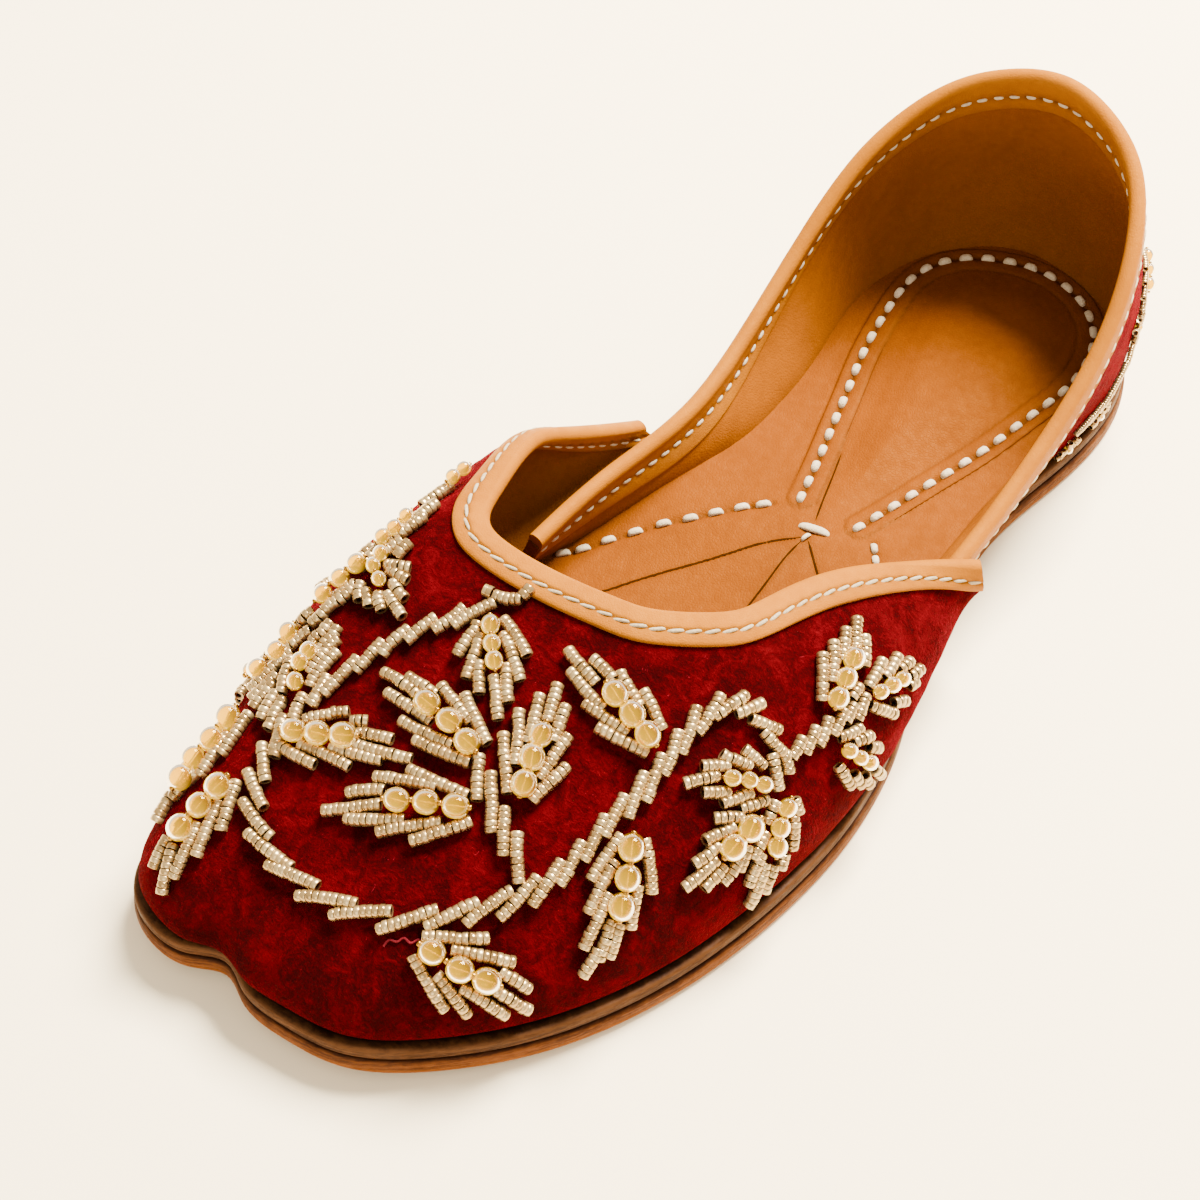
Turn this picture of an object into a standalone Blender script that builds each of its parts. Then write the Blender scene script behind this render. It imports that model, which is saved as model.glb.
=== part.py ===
# Left mojari shoe: leather sole, hollow upper on a curved last, edge bindings and a padded insole.
# Heel toward +Y, toe toward -Y, outer side of the foot toward +X, ground at zero.
import bpy
import numpy as np

mm = 0.001

# Driving sizes
sole_length = 251.5 * mm
ball_width = 97.0 * mm
heel_height = 66.0 * mm
outsole_thickness = 3.7 * mm
midsole_thickness = 3.0 * mm
toe_spring = 3.0 * mm
arch_rise = 1.2 * mm
welt_show = 2.0 * mm
midsole_inset = 0.5 * mm
vamp_wall = 2.2 * mm
quarter_wall = 2.0 * mm
insole_thickness = 2.0 * mm
pad_rise = 1.8 * mm
channel_depth = 0.6 * mm
vamp_roll_radius = 1.6 * mm
quarter_roll_radius = 1.75 * mm
vamp_flange_width = 3.6 * mm
quarter_inner_flange = 6.5 * mm
quarter_outer_flange = 2.2 * mm
flange_thickness = 0.9 * mm
seam_depth = 1.2 * mm
gap = 0.3 * mm
# The heel part is turned from the line through heel and toe
heel_turn = np.radians(7.84)
waist_along = 0.395
waist_across = -0.046
# Shift outward that puts the widest points of sole and upper evenly about the middle
side_shift = 2.95 * mm

# Sole outline: station, share of length from the heel, share of ball width toward the outer side
outline_rows = (
    ("heel back", 0.000, -0.188),
    ("heel back outer", 0.005, -0.062),
    ("heel outer curve", 0.023, 0.049),
    ("heel outer corner", 0.061, 0.136),
    ("heel outer", 0.116, 0.189),
    ("heel outer front", 0.182, 0.200),
    ("waist outer rear", 0.253, 0.198),
    ("waist outer", 0.325, 0.232),
    ("waist outer front", 0.407, 0.314),
    ("joint outer rear", 0.492, 0.428),
    ("joint outer", 0.572, 0.488),
    ("ball outer", 0.651, 0.503),
    ("toe outer rear", 0.731, 0.488),
    ("toe outer side", 0.802, 0.446),
    ("toe outer", 0.870, 0.369),
    ("toe outer corner", 0.933, 0.254),
    ("lobe outer side", 0.971, 0.139),
    ("lobe outer", 0.985, 0.019),
    ("lobe outer inside", 0.987, -0.089),
    ("notch", 0.979, -0.167),
    ("lobe inner inside", 0.994, -0.233),
    ("lobe inner", 1.000, -0.320),
    ("lobe inner side", 0.990, -0.404),
    ("toe inner corner", 0.963, -0.466),
    ("toe inner", 0.917, -0.497),
    ("toe inner side", 0.850, -0.511),
    ("toe inner rear", 0.754, -0.516),
    ("ball inner", 0.643, -0.508),
    ("joint inner", 0.532, -0.468),
    ("waist inner front", 0.420, -0.413),
    ("waist inner", 0.329, -0.381),
    ("waist inner rear", 0.253, -0.405),
    ("heel inner front", 0.190, -0.447),
    ("heel inner", 0.134, -0.464),
    ("heel inner corner", 0.073, -0.432),
    ("heel inner curve", 0.030, -0.357),
    ("heel back inner", 0.008, -0.278),
)
notch_row = 19

# Vamp ribs: place round the outline, throat edge (along, across, height), then the rib's
# rise and flare at the sole, reach, drop and bow below the throat, as shares of heel height
vamp_rows = (
    ("wing outer end", 0.188, 0.367, 0.362, 0.409, 0.136, 0.136, 0.00, 0.136, 0.015),
    ("wing outer", 0.215, 0.411, 0.284, 0.480, 0.152, 0.190, 0.12, 0.121, 0.100),
    ("side outer rear", 0.241, 0.458, 0.227, 0.550, 0.167, 0.160, 0.35, 0.106, 0.080),
    ("side outer", 0.294, 0.536, 0.190, 0.636, 0.190, 0.065, 0.38, 0.091, 0.010),
    ("ball outer", 0.350, 0.578, 0.163, 0.679, 0.212, 0.023, 0.38, 0.121, 0.000),
    ("toe outer", 0.397, 0.611, 0.082, 0.700, 0.212, 0.015, 0.38, 0.152, 0.000),
    ("toe outer front", 0.450, 0.627, 0.000, 0.709, 0.212, 0.008, 0.38, 0.167, 0.000),
    ("toe centre", 0.500, 0.639, -0.113, 0.712, 0.212, 0.008, 0.38, 0.167, 0.000),
    ("toe inner corner", 0.557, 0.646, -0.237, 0.712, 0.227, 0.040, 0.38, 0.140, 0.000),
    ("toe inner", 0.607, 0.643, -0.320, 0.712, 0.273, 0.130, 0.44, 0.070, 0.045),
    ("ball inner", 0.650, 0.629, -0.361, 0.709, 0.310, 0.212, 0.50, 0.045, 0.120),
    ("side inner", 0.700, 0.597, -0.402, 0.692, 0.310, 0.220, 0.32, 0.100, 0.165),
    ("side inner rear", 0.740, 0.542, -0.452, 0.644, 0.280, 0.212, 0.20, 0.136, 0.150),
    ("wing inner", 0.775, 0.488, -0.458, 0.500, 0.182, 0.150, 0.00, 0.160, 0.070),
    ("wing inner end", 0.798, 0.420, -0.468, 0.300, 0.080, 0.060, 0.00, 0.075, 0.010),
)

# Quarter ribs, the same both sides of the heel's own line: place from the heel's back, topline
# (share of length behind the waist, half width and shift outward as shares of ball width, height),
# then the rib's rise and flare at the sole, drop and bow below the topline, as shares of heel height
quarter_rows = (
    ("heel back", 0.000, 0.375, 0.000, 0.000, 0.980, 0.333, 0.061, 0.303, 0.045),
    ("heel back side", 0.032, 0.362, 0.143, 0.000, 0.943, 0.333, 0.061, 0.303, 0.045),
    ("heel side rear", 0.065, 0.328, 0.258, 0.000, 0.862, 0.303, 0.068, 0.273, 0.045),
    ("heel side", 0.097, 0.267, 0.334, 0.000, 0.730, 0.242, 0.076, 0.212, 0.045),
    ("heel side front", 0.127, 0.199, 0.360, 0.000, 0.566, 0.182, 0.061, 0.167, 0.045),
    ("waist rear", 0.157, 0.119, 0.358, 0.000, 0.424, 0.136, 0.045, 0.121, 0.023),
    ("waist", 0.189, 0.032, 0.352, 0.004, 0.353, 0.121, 0.015, 0.091, 0.015),
    ("side", 0.230, -0.068, 0.366, -0.019, 0.341, 0.076, -0.030, 0.076, 0.030),
    ("front end", 0.270, -0.159, 0.367, -0.030, 0.356, 0.076, -0.030, 0.076, 0.030),
)

# Raised heel pad of the insole: share of length behind the waist, half width as a share of ball width
pad_rows = (
    ("point", 0.012, 0.030),
    ("neck", 0.070, 0.100),
    ("middle", 0.143, 0.156),
    ("shoulder", 0.220, 0.212),
    ("widest", 0.284, 0.236),
    ("rear corner", 0.351, 0.171),
    ("rear", 0.375, 0.000),
)


def spline(knots, values, closed=False):
    # Cubic curve through the given values, with free ends or closed on itself
    knots = np.asarray(knots, float)
    values = np.asarray(values, float)
    count = len(knots)
    step = np.diff(knots)
    slope = np.diff(values, axis=0) / step[:, None]
    matrix = np.eye(count)
    right = np.zeros_like(values)
    for i in range(1, count - 1):
        matrix[i, i - 1:i + 2] = (step[i - 1], 2 * (step[i - 1] + step[i]), step[i])
        right[i] = 6 * (slope[i] - slope[i - 1])
    if closed:
        matrix[0, -1] = -1
        matrix[-1] = 0
        matrix[-1, 0] = 2 * step[0]
        matrix[-1, 1] = step[0]
        matrix[-1, -2] = step[-1]
        matrix[-1, -1] = 2 * step[-1]
        right[-1] = 6 * (slope[0] - slope[-1])
    bend = np.linalg.solve(matrix, right)

    def at(where):
        where = np.atleast_1d(np.asarray(where, float))
        i = np.clip(np.searchsorted(knots, where, "right") - 1, 0, count - 2)
        h = step[i][:, None]
        a = (knots[i + 1] - where)[:, None]
        b = (where - knots[i])[:, None]
        cubic = (bend[i] * a ** 3 + bend[i + 1] * b ** 3) / (6 * h)
        straight = (values[i] / h - bend[i] * h / 6) * a + (values[i + 1] / h - bend[i + 1] * h / 6) * b
        return cubic + straight
    return at


def smooth(value, start, end):
    t = np.clip((value - start) / (end - start), 0, 1)
    return t * t * (3 - 2 * t)


def plan(along, across):
    x = ball_width * np.asarray(across) + side_shift
    y = sole_length * (0.5 - np.asarray(along))
    return np.stack([x, y], axis=-1)


def floor_height(y):
    # Underside of the sole: flat heel, low arch at the waist, flat forefoot, toe spring
    share = 0.5 - np.asarray(y) / sole_length
    arch = arch_rise * smooth(share, 0.30, 0.39) * (1 - smooth(share, 0.42, 0.51))
    spring = toe_spring * np.clip((share - 0.74) / 0.26, 0, 1.2) ** 2
    return arch + spring


def dense_outline():
    # Outline sampled finely; its place runs 0 to 0.5 from heel back to notch, then to 1 on the inner side
    points = plan([row[1] for row in outline_rows], [row[2] for row in outline_rows])
    points = np.vstack([points, points[:1]])
    chord = np.concatenate([[0], np.cumsum(np.sqrt(np.linalg.norm(np.diff(points, axis=0), axis=1)))])
    curve = spline(chord, points, closed=True)
    outer = curve(np.linspace(0, chord[notch_row], 900))
    inner = curve(np.linspace(chord[notch_row], chord[-1], 900))
    places = []
    for side, start in ((outer, 0.0), (inner, 0.5)):
        run = np.concatenate([[0], np.cumsum(np.linalg.norm(np.diff(side, axis=0), axis=1))])
        places.append(start + 0.5 * run / run[-1])
    place = np.concatenate([places[0], places[1][1:]])
    point = np.vstack([outer, inner[1:]])
    ahead = np.roll(point[:-1], -1, axis=0)
    behind = np.roll(point[:-1], 1, axis=0)
    tangent = ahead - behind
    tangent = np.vstack([tangent, tangent[:1]])
    tangent /= np.linalg.norm(tangent, axis=1)[:, None]
    normal = np.stack([-tangent[:, 1], tangent[:, 0]], axis=1)
    return place, point, normal


outline_place, outline_point, outline_normal = dense_outline()


def edge_at(place, inset=0.0, notch_fill=0.0):
    place = np.mod(np.asarray(place, float), 1.0)
    point = np.stack([np.interp(place, outline_place, outline_point[:, k]) for k in (0, 1)], axis=-1)
    normal = np.stack([np.interp(place, outline_place, outline_normal[:, k]) for k in (0, 1)], axis=-1)
    normal /= np.linalg.norm(normal, axis=-1, keepdims=True)
    point = point - normal * np.broadcast_to(inset, place.shape)[..., None]
    point[..., 1] -= notch_fill * np.exp(-((place - 0.5) / 0.016) ** 2)
    return point, normal


cap_bow = 0.7
upper_seat = outsole_thickness + midsole_thickness + 2 * gap
notch_fill = 2.2 * mm


def heel_frame(behind, across):
    # Turns distances along and across the heel's own line into the shoe's plan
    behind = sole_length * np.asarray(behind)
    across = ball_width * np.asarray(across)
    start = plan(waist_along, waist_across)
    x = start[0] + np.cos(heel_turn) * across - np.sin(heel_turn) * behind
    y = start[1] + np.sin(heel_turn) * across + np.cos(heel_turn) * behind
    return np.stack([x, y], axis=-1)


def vamp_ribs(place):
    table = spline([row[1] for row in vamp_rows], [row[2:] for row in vamp_rows])(place)
    base, normal = edge_at(place, welt_show, notch_fill)
    top = plan(table[:, 0], table[:, 1])
    top_height = heel_height * table[:, 2]
    rise, flare, reach, drop, bow = (table[:, k] for k in (3, 4, 5, 6, 7))
    return rib_points(base, normal, top, top_height, rise, flare, reach, drop, bow, 0.0)


def quarter_ribs(place):
    # Place runs from minus 0.27 on the inner side over the heel's back to 0.27 on the outer side
    side = np.sign(place)
    side[side == 0] = 1
    mirrored = [(-row[1], row[2], -row[3]) + row[4:] for row in quarter_rows[:0:-1]]
    knots = [row[0] for row in mirrored] + [row[1] for row in quarter_rows]
    values = [row[1:] for row in mirrored] + [row[2:] for row in quarter_rows]
    table = spline(knots, values)(place)
    under = smooth(np.abs(place), 0.150, 0.184)
    base, normal = edge_at(place, welt_show + seam_depth * under, notch_fill)
    top = heel_frame(table[:, 0], table[:, 1] + table[:, 2])
    top_height = heel_height * table[:, 3]
    rise, flare, drop, bow = (table[:, k] for k in (4, 5, 6, 7))
    return rib_points(base, normal, top, top_height, rise, flare, 0 * rise, drop, bow, 0.5 * mm * under)


def rib_points(base, normal, top, top_height, rise, flare, reach, drop, bow, lift):
    zero = np.zeros(len(base))
    outward = np.column_stack([normal, zero])
    start = np.column_stack([base, upper_seat + floor_height(base[:, 1]) + lift])
    end = np.column_stack([top, top_height])
    up = np.array([0.0, 0.0, heel_height])
    first = start + rise[:, None] * up + (flare * heel_height)[:, None] * outward
    level = np.column_stack([base - top, zero])
    second = end + reach[:, None] * level - drop[:, None] * up + (bow * heel_height)[:, None] * outward
    t = np.linspace(0, 1, 61)[None, :, None]
    points = start[:, None] * (1 - t) ** 3 + 3 * first[:, None] * t * (1 - t) ** 2
    points = points + 3 * second[:, None] * t ** 2 * (1 - t) + end[:, None] * t ** 3
    return points[:, ::-1]


def along_ribs(ribs, distance, edge_drop):
    # Points a distance below the wall's top edge, following each rib; above it they run on straight
    found = np.zeros((len(ribs), np.shape(distance)[-1], 3))
    for i, rib in enumerate(ribs):
        run = np.concatenate([[0], np.cumsum(np.linalg.norm(np.diff(rib, axis=0), axis=1))])
        want = np.broadcast_to(distance, (len(ribs), np.shape(distance)[-1]))[i] + edge_drop
        for k in range(3):
            found[i, :, k] = np.interp(want, run, rib[:, k])
        ahead = rib[0] - rib[3]
        ahead = ahead / np.linalg.norm(ahead)
        found[i] += np.clip(-want, 0, None)[:, None] * ahead
    return found


def rib_lengths(ribs):
    return np.sum(np.linalg.norm(np.diff(ribs, axis=1), axis=2), axis=1)


def wall_surface(make_ribs, place, distance, edge_drop):
    # Surface points and outward normals of a wall of the upper
    step = 0.0015
    centre = along_ribs(make_ribs(place), distance, edge_drop)
    low = np.clip(place - step, make_ribs_range[make_ribs][0], None)
    high = np.clip(place + step, None, make_ribs_range[make_ribs][1])
    before = along_ribs(make_ribs(low), distance, edge_drop)
    after = along_ribs(make_ribs(high), distance, edge_drop)
    small = 0.6 * mm
    down = along_ribs(make_ribs(place), np.asarray(distance) + small, edge_drop)
    up = along_ribs(make_ribs(place), np.asarray(distance) - small, edge_drop)
    normal = np.cross(after - before, down - up)
    normal /= np.linalg.norm(normal, axis=2)[..., None]
    return centre, normal


vamp_range = (0.188, 0.798)
quarter_range = (-0.27, 0.27)
make_ribs_range = {vamp_ribs: vamp_range, quarter_ribs: quarter_range}
vamp_edge_drop = vamp_roll_radius + gap
quarter_edge_drop = quarter_roll_radius + gap
end_crowding = 0.6


def mesh_object(name, points, faces, colour, roughness, sharp=40):
    mesh = bpy.data.meshes.new(name)
    mesh.from_pydata([tuple(map(float, p)) for p in points], [], faces)
    mesh.validate()
    mesh.update()
    thing = bpy.data.objects.new(name, mesh)
    bpy.context.scene.collection.objects.link(thing)
    mesh.shade_smooth()
    mesh.set_sharp_from_angle(angle=np.radians(sharp))
    material = bpy.data.materials.new(name)
    material.use_nodes = True
    shader = material.node_tree.nodes["Principled BSDF"]
    shader.inputs["Base Color"].default_value = (*colour, 1)
    shader.inputs["Roughness"].default_value = roughness
    mesh.materials.append(material)
    return thing


def grid_faces(rows, columns, start=0, flip=False):
    faces = []
    for i in range(rows - 1):
        for j in range(columns - 1):
            a = start + i * columns + j
            quad = (a, a + 1, a + columns + 1, a + columns)
            faces.append(quad[::-1] if flip else quad)
    return faces


def stations(make_ribs, around):
    # Places along a wall, closer together toward both ends where its edge falls steeply
    low, high = make_ribs_range[make_ribs]
    t = np.linspace(0, 1, around)
    return low + (high - low) * (t - end_crowding * np.sin(2 * np.pi * t) / (2 * np.pi))


def wall_shell(make_ribs, thickness, edge_drop, around, down, taper):
    # Closed shell between the outer face and the face one wall inside it
    place = stations(make_ribs, around)
    length = rib_lengths(make_ribs(place)) - edge_drop
    share = 1 - (1 - np.linspace(0, 1, down)) ** taper
    distance = share[None, :] * length[:, None]
    outer, normal = wall_surface(make_ribs, place, distance, edge_drop)
    flat = normal[:, -1] * np.array([1.0, 1.0, 0.0])
    normal[:, -1] = flat / np.linalg.norm(flat, axis=1)[:, None]
    inner = outer - normal * thickness
    points = np.vstack([outer.reshape(-1, 3), inner.reshape(-1, 3)])
    count = around * down
    faces = grid_faces(around, down) + grid_faces(around, down, count, True)
    for i in range(around - 1):
        top = (i * down, (i + 1) * down)
        faces.append((top[0], top[1], top[1] + count, top[0] + count))
        foot = (top[0] + down - 1, top[1] + down - 1)
        faces.append((foot[1], foot[0], foot[0] + count, foot[1] + count))
    last = (around - 1) * down
    for j in range(down - 1):
        faces.append((j + 1, j, j + count, j + 1 + count))
        faces.append((last + j, last + j + 1, last + j + 1 + count, last + j + count))
    return points, [face[::-1] for face in faces]


def swept_profile(make_ribs, profile, edge_drop, around):
    # Closed strip whose section is given as distance below the edge and height off the outer face
    place = stations(make_ribs, around)
    profile = np.asarray(profile)
    centre, normal = wall_surface(make_ribs, place, profile[:, 0], edge_drop)
    points = (centre + normal * profile[None, :, 1:2]).reshape(-1, 3)
    count = len(profile)
    faces = []
    for i in range(around - 1):
        for j in range(count):
            k = (j + 1) % count
            faces.append((i * count + j, i * count + k, (i + 1) * count + k, (i + 1) * count + j))
    faces.append(tuple(range(count))[::-1])
    last = (around - 1) * count
    faces.append(tuple(last + j for j in range(count)))
    return points, [face[::-1] for face in faces]


def roll_arc(radius, centre, start, end, count):
    angle = np.radians(np.linspace(start, end, count))
    return [(centre[0] - radius * np.cos(a), centre[1] + radius * np.sin(a)) for a in angle]


def vamp_binding_profile():
    lie = gap + flange_thickness
    centre = (-vamp_roll_radius - gap, -vamp_wall / 2)
    roll = roll_arc(vamp_roll_radius, centre, -160, 35, 9)
    middle = vamp_flange_width / 2
    over = [(-0.4 * mm, lie), (middle, lie), (vamp_flange_width, lie)]
    under = [(vamp_flange_width, gap), (middle, gap), (-0.2 * mm, gap), (-gap, -0.2 * mm)]
    return roll + over + under


def quarter_binding_profile():
    lie = gap + flange_thickness
    inside = -quarter_wall
    centre = (-quarter_roll_radius - gap, inside / 2)
    roll = roll_arc(quarter_roll_radius, centre, -80, 80, 7)
    thin = gap + 0.6 * mm
    outer = [(0.2 * mm, thin), (quarter_outer_flange, thin), (quarter_outer_flange, gap), (-gap, gap)]
    inner = [(-gap, inside - gap), (quarter_inner_flange / 2, inside - gap), (quarter_inner_flange, inside - gap)]
    inner += [(quarter_inner_flange, inside - thin), (quarter_inner_flange / 2, inside - thin), (0.2 * mm, inside - lie)]
    return roll + outer + inner


def sole_plate(name, rings, colour, roughness, top_across=2, top_shape=None):
    # Slab inside the outline: rings of (inset, height) from underside to top, capped across
    half_count = 44
    place = np.concatenate([np.linspace(0, 0.5, half_count + 1), np.linspace(0.5, 1, half_count + 1)[1:-1]])
    count = len(place)
    points = []
    for inset, height, fill in rings:
        level = inset(place) if callable(inset) else inset
        loop, _ = edge_at(place, level, fill)
        points += [(x, y, floor_height(y) + height) for x, y in loop]
    faces = []
    for ring in range(len(rings) - 1):
        for i in range(count):
            k = (i + 1) % count
            a, b = ring * count, (ring + 1) * count
            faces.append((a + i, b + i, b + k, a + k))
    for ring, flip in ((0, False), (len(rings) - 1, True)):
        start = ring * count
        height = rings[ring][1]
        across = top_across if flip else 2
        lines = [[start]]
        for i in range(1, half_count):
            outer = start + i
            inner = start + count - i
            line = [outer]
            half = abs(points[outer][0] - points[inner][0]) / 2
            ahead = 0.5 - (points[outer][1] + points[inner][1]) / (2 * sole_length)
            bow = (cap_bow * min(half, 15 * mm) + 0.1 * min(half, 40 * mm)) * smooth(ahead, 0.3, 0.9)
            for s in range(1, across):
                t = s / across
                x = points[outer][0] * (1 - t) + points[inner][0] * t
                y = points[outer][1] * (1 - t) + points[inner][1] * t + bow * np.sqrt(4 * t * (1 - t))
                extra = top_shape(x, y) if flip and top_shape else 0.0
                line.append(len(points))
                points.append((x, y, floor_height(y) + height + extra))
            lines.append(line + [inner])
        lines.append([start + half_count])
        for one, two in zip(lines[:-1], lines[1:]):
            if len(one) == 1 or len(two) == 1:
                tip = one[0] if len(one) == 1 else two[0]
                long = two if len(one) == 1 else one
                for a, b in zip(long[:-1], long[1:]):
                    face = (tip, a, b) if len(one) == 1 else (tip, b, a)
                    faces.append(face if not flip else face[::-1])
            else:
                for j in range(across):
                    face = (one[j], two[j], two[j + 1], one[j + 1])
                    faces.append(face if not flip else face[::-1])
    return mesh_object(name, points, faces, colour, roughness)


def pad_loop(count=120):
    rows = [(row[1], row[2]) for row in pad_rows]
    rows = rows + [(along, -wide) for along, wide in rows[-2::-1]]
    points = heel_frame([row[0] for row in rows], [row[1] for row in rows])
    points = np.vstack([points, points[:1]])
    chord = np.concatenate([[0], np.cumsum(np.linalg.norm(np.diff(points, axis=0), axis=1))])
    return spline(chord, points, closed=True)(np.linspace(0, chord[-1], count))


pad_outline = pad_loop()


def pad_depth(x, y):
    # Distance inside the pad's stitched outline, negative outside it
    point = np.array([x, y])
    start = pad_outline[:-1]
    way = pad_outline[1:] - start
    t = np.clip(np.sum((point - start) * way, axis=1) / np.sum(way * way, axis=1), 0, 1)
    away = np.min(np.linalg.norm(start + way * t[:, None] - point, axis=1))
    crosses = (start[:, 1] > y) != (pad_outline[1:, 1] > y)
    hit = start[:, 0] + (y - start[:, 1]) * way[:, 0] / np.where(way[:, 1] == 0, 1e-12, way[:, 1])
    inside = np.count_nonzero(crosses & (hit > x)) % 2 == 1
    return away if inside else -away


def insole_shape(x, y):
    depth = pad_depth(x, y)
    pad = pad_rise * smooth(depth, 1.5 * mm, 7 * mm)
    channel = channel_depth * (1 - smooth(abs(depth), 1.5 * mm, 5 * mm))
    return pad - channel


def insole_inset(place):
    side = np.minimum(np.mod(place, 1), 1 - np.mod(place, 1))
    under = smooth(side, 0.14, 0.18) * (1 - smooth(side, 0.28, 0.31))
    toe = 1 - smooth(0.5 - side, 0.06, 0.16)
    return welt_show + vamp_wall + gap + 0.3 * mm + (seam_depth + 0.6 * mm) * under + 1.0 * mm * toe


for thing in list(bpy.data.objects):
    bpy.data.objects.remove(thing, do_unlink=True)

velvet = (0.30, 0.004, 0.022)
tan = (0.66, 0.37, 0.15)
lining = (0.52, 0.22, 0.055)

soft = 0.7 * mm
outsole_rings = (
    (soft * 1.3, 0.0, 0.0),
    (soft * 0.3, soft, 0.0),
    (0.0, outsole_thickness / 2, 0.0),
    (soft * 0.3, outsole_thickness - soft, 0.0),
    (soft * 1.3, outsole_thickness, 0.0),
)
sole_plate("outsole", outsole_rings, (0.17, 0.065, 0.022), 0.55)

low = outsole_thickness + gap
high = low + midsole_thickness
midsole_rings = (
    (midsole_inset + soft, low, 0.0),
    (midsole_inset, low + soft, 0.0),
    (midsole_inset, high - soft, 0.0),
    (midsole_inset + soft, high, 0.0),
)
sole_plate("midsole", midsole_rings, (0.26, 0.125, 0.05), 0.6)

insole_rings = (
    (insole_inset, upper_seat, notch_fill),
    (insole_inset, upper_seat + insole_thickness, notch_fill),
)
sole_plate("insole", insole_rings, lining, 0.5, 10, insole_shape)

shell = wall_shell(vamp_ribs, vamp_wall, vamp_edge_drop, 67, 10, 1.35)
upper = mesh_object("upper", *shell, velvet, 0.8)
shell = wall_shell(quarter_ribs, quarter_wall, quarter_edge_drop, 57, 7, 1.0)
quarter = mesh_object("quarter_cutter", *shell, velvet, 0.8)
quarter.hide_render = True
quarter.display_type = "WIRE"
join = upper.modifiers.new("join", "BOOLEAN")
join.operation = "UNION"
join.solver = "EXACT"
join.object = quarter

strip = swept_profile(vamp_ribs, vamp_binding_profile(), vamp_edge_drop, 67)
mesh_object("vamp_binding", *strip, tan, 0.5)
strip = swept_profile(quarter_ribs, quarter_binding_profile(), quarter_edge_drop, 57)
mesh_object("quarter_binding", *strip, tan, 0.45)
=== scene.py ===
import math
import bpy
import numpy as np
from mathutils import Matrix, Vector
from mathutils.bvhtree import BVHTree


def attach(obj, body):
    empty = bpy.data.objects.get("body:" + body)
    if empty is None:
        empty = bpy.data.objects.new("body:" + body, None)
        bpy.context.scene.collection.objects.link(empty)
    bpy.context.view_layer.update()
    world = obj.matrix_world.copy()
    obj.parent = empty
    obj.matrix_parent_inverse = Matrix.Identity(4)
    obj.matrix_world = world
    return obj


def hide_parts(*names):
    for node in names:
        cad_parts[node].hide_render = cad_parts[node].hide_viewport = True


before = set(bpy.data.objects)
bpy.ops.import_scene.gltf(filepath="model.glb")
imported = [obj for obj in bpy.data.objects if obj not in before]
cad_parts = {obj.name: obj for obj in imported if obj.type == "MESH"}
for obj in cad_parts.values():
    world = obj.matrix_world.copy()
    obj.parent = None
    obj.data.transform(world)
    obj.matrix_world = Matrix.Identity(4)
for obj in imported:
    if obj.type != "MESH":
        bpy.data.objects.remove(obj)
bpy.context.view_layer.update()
mm = 0.001
chance = np.random.default_rng(7)
print("frame loaded")

# the shoe's own sizes, the same as those of its solids
shoe = {
    "length": 251.5 * mm,
    "ballWidth": 97.0 * mm,
    "heelHeight": 66.0 * mm,
    "outsole": 3.7 * mm,
    "midsole": 3.0 * mm,
    "toeSpring": 3.0 * mm,
    "archRise": 1.2 * mm,
    "weltShow": 2.0 * mm,
    "gap": 0.3 * mm,
    "vampWall": 2.2 * mm,
    "quarterWall": 2.0 * mm,
    "vampRoll": 1.6 * mm,
    "quarterRoll": 1.75 * mm,
    "insole": 2.0 * mm,
    "sideShift": 2.95 * mm,
    "heelTurn": math.radians(7.84),
    "waistAlong": 0.395,
    "waistAcross": -0.046,
    "notchFill": 2.2 * mm,
    "seamDepth": 1.2 * mm,
    "vampRange": (0.188, 0.798),
    "quarterRange": (-0.27, 0.27),
}
upperSeat = shoe["outsole"] + shoe["midsole"] + 2 * shoe["gap"]

# sole outline from the heel's back round the outer side: share of length, share of ball width
outlineRows = (
    (0.000, -0.188), (0.005, -0.062), (0.023, 0.049), (0.061, 0.136), (0.116, 0.189),
    (0.182, 0.200), (0.253, 0.198), (0.325, 0.232), (0.407, 0.314), (0.492, 0.428),
    (0.572, 0.488), (0.651, 0.503), (0.731, 0.488), (0.802, 0.446), (0.870, 0.369),
    (0.933, 0.254), (0.971, 0.139), (0.985, 0.019), (0.987, -0.089), (0.979, -0.167),
    (0.994, -0.233), (1.000, -0.320), (0.990, -0.404), (0.963, -0.466), (0.917, -0.497),
    (0.850, -0.511), (0.754, -0.516), (0.643, -0.508), (0.532, -0.468), (0.420, -0.413),
    (0.329, -0.381), (0.253, -0.405), (0.190, -0.447), (0.134, -0.464), (0.073, -0.432),
    (0.030, -0.357), (0.008, -0.278),
)
notchRow = 19

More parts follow.
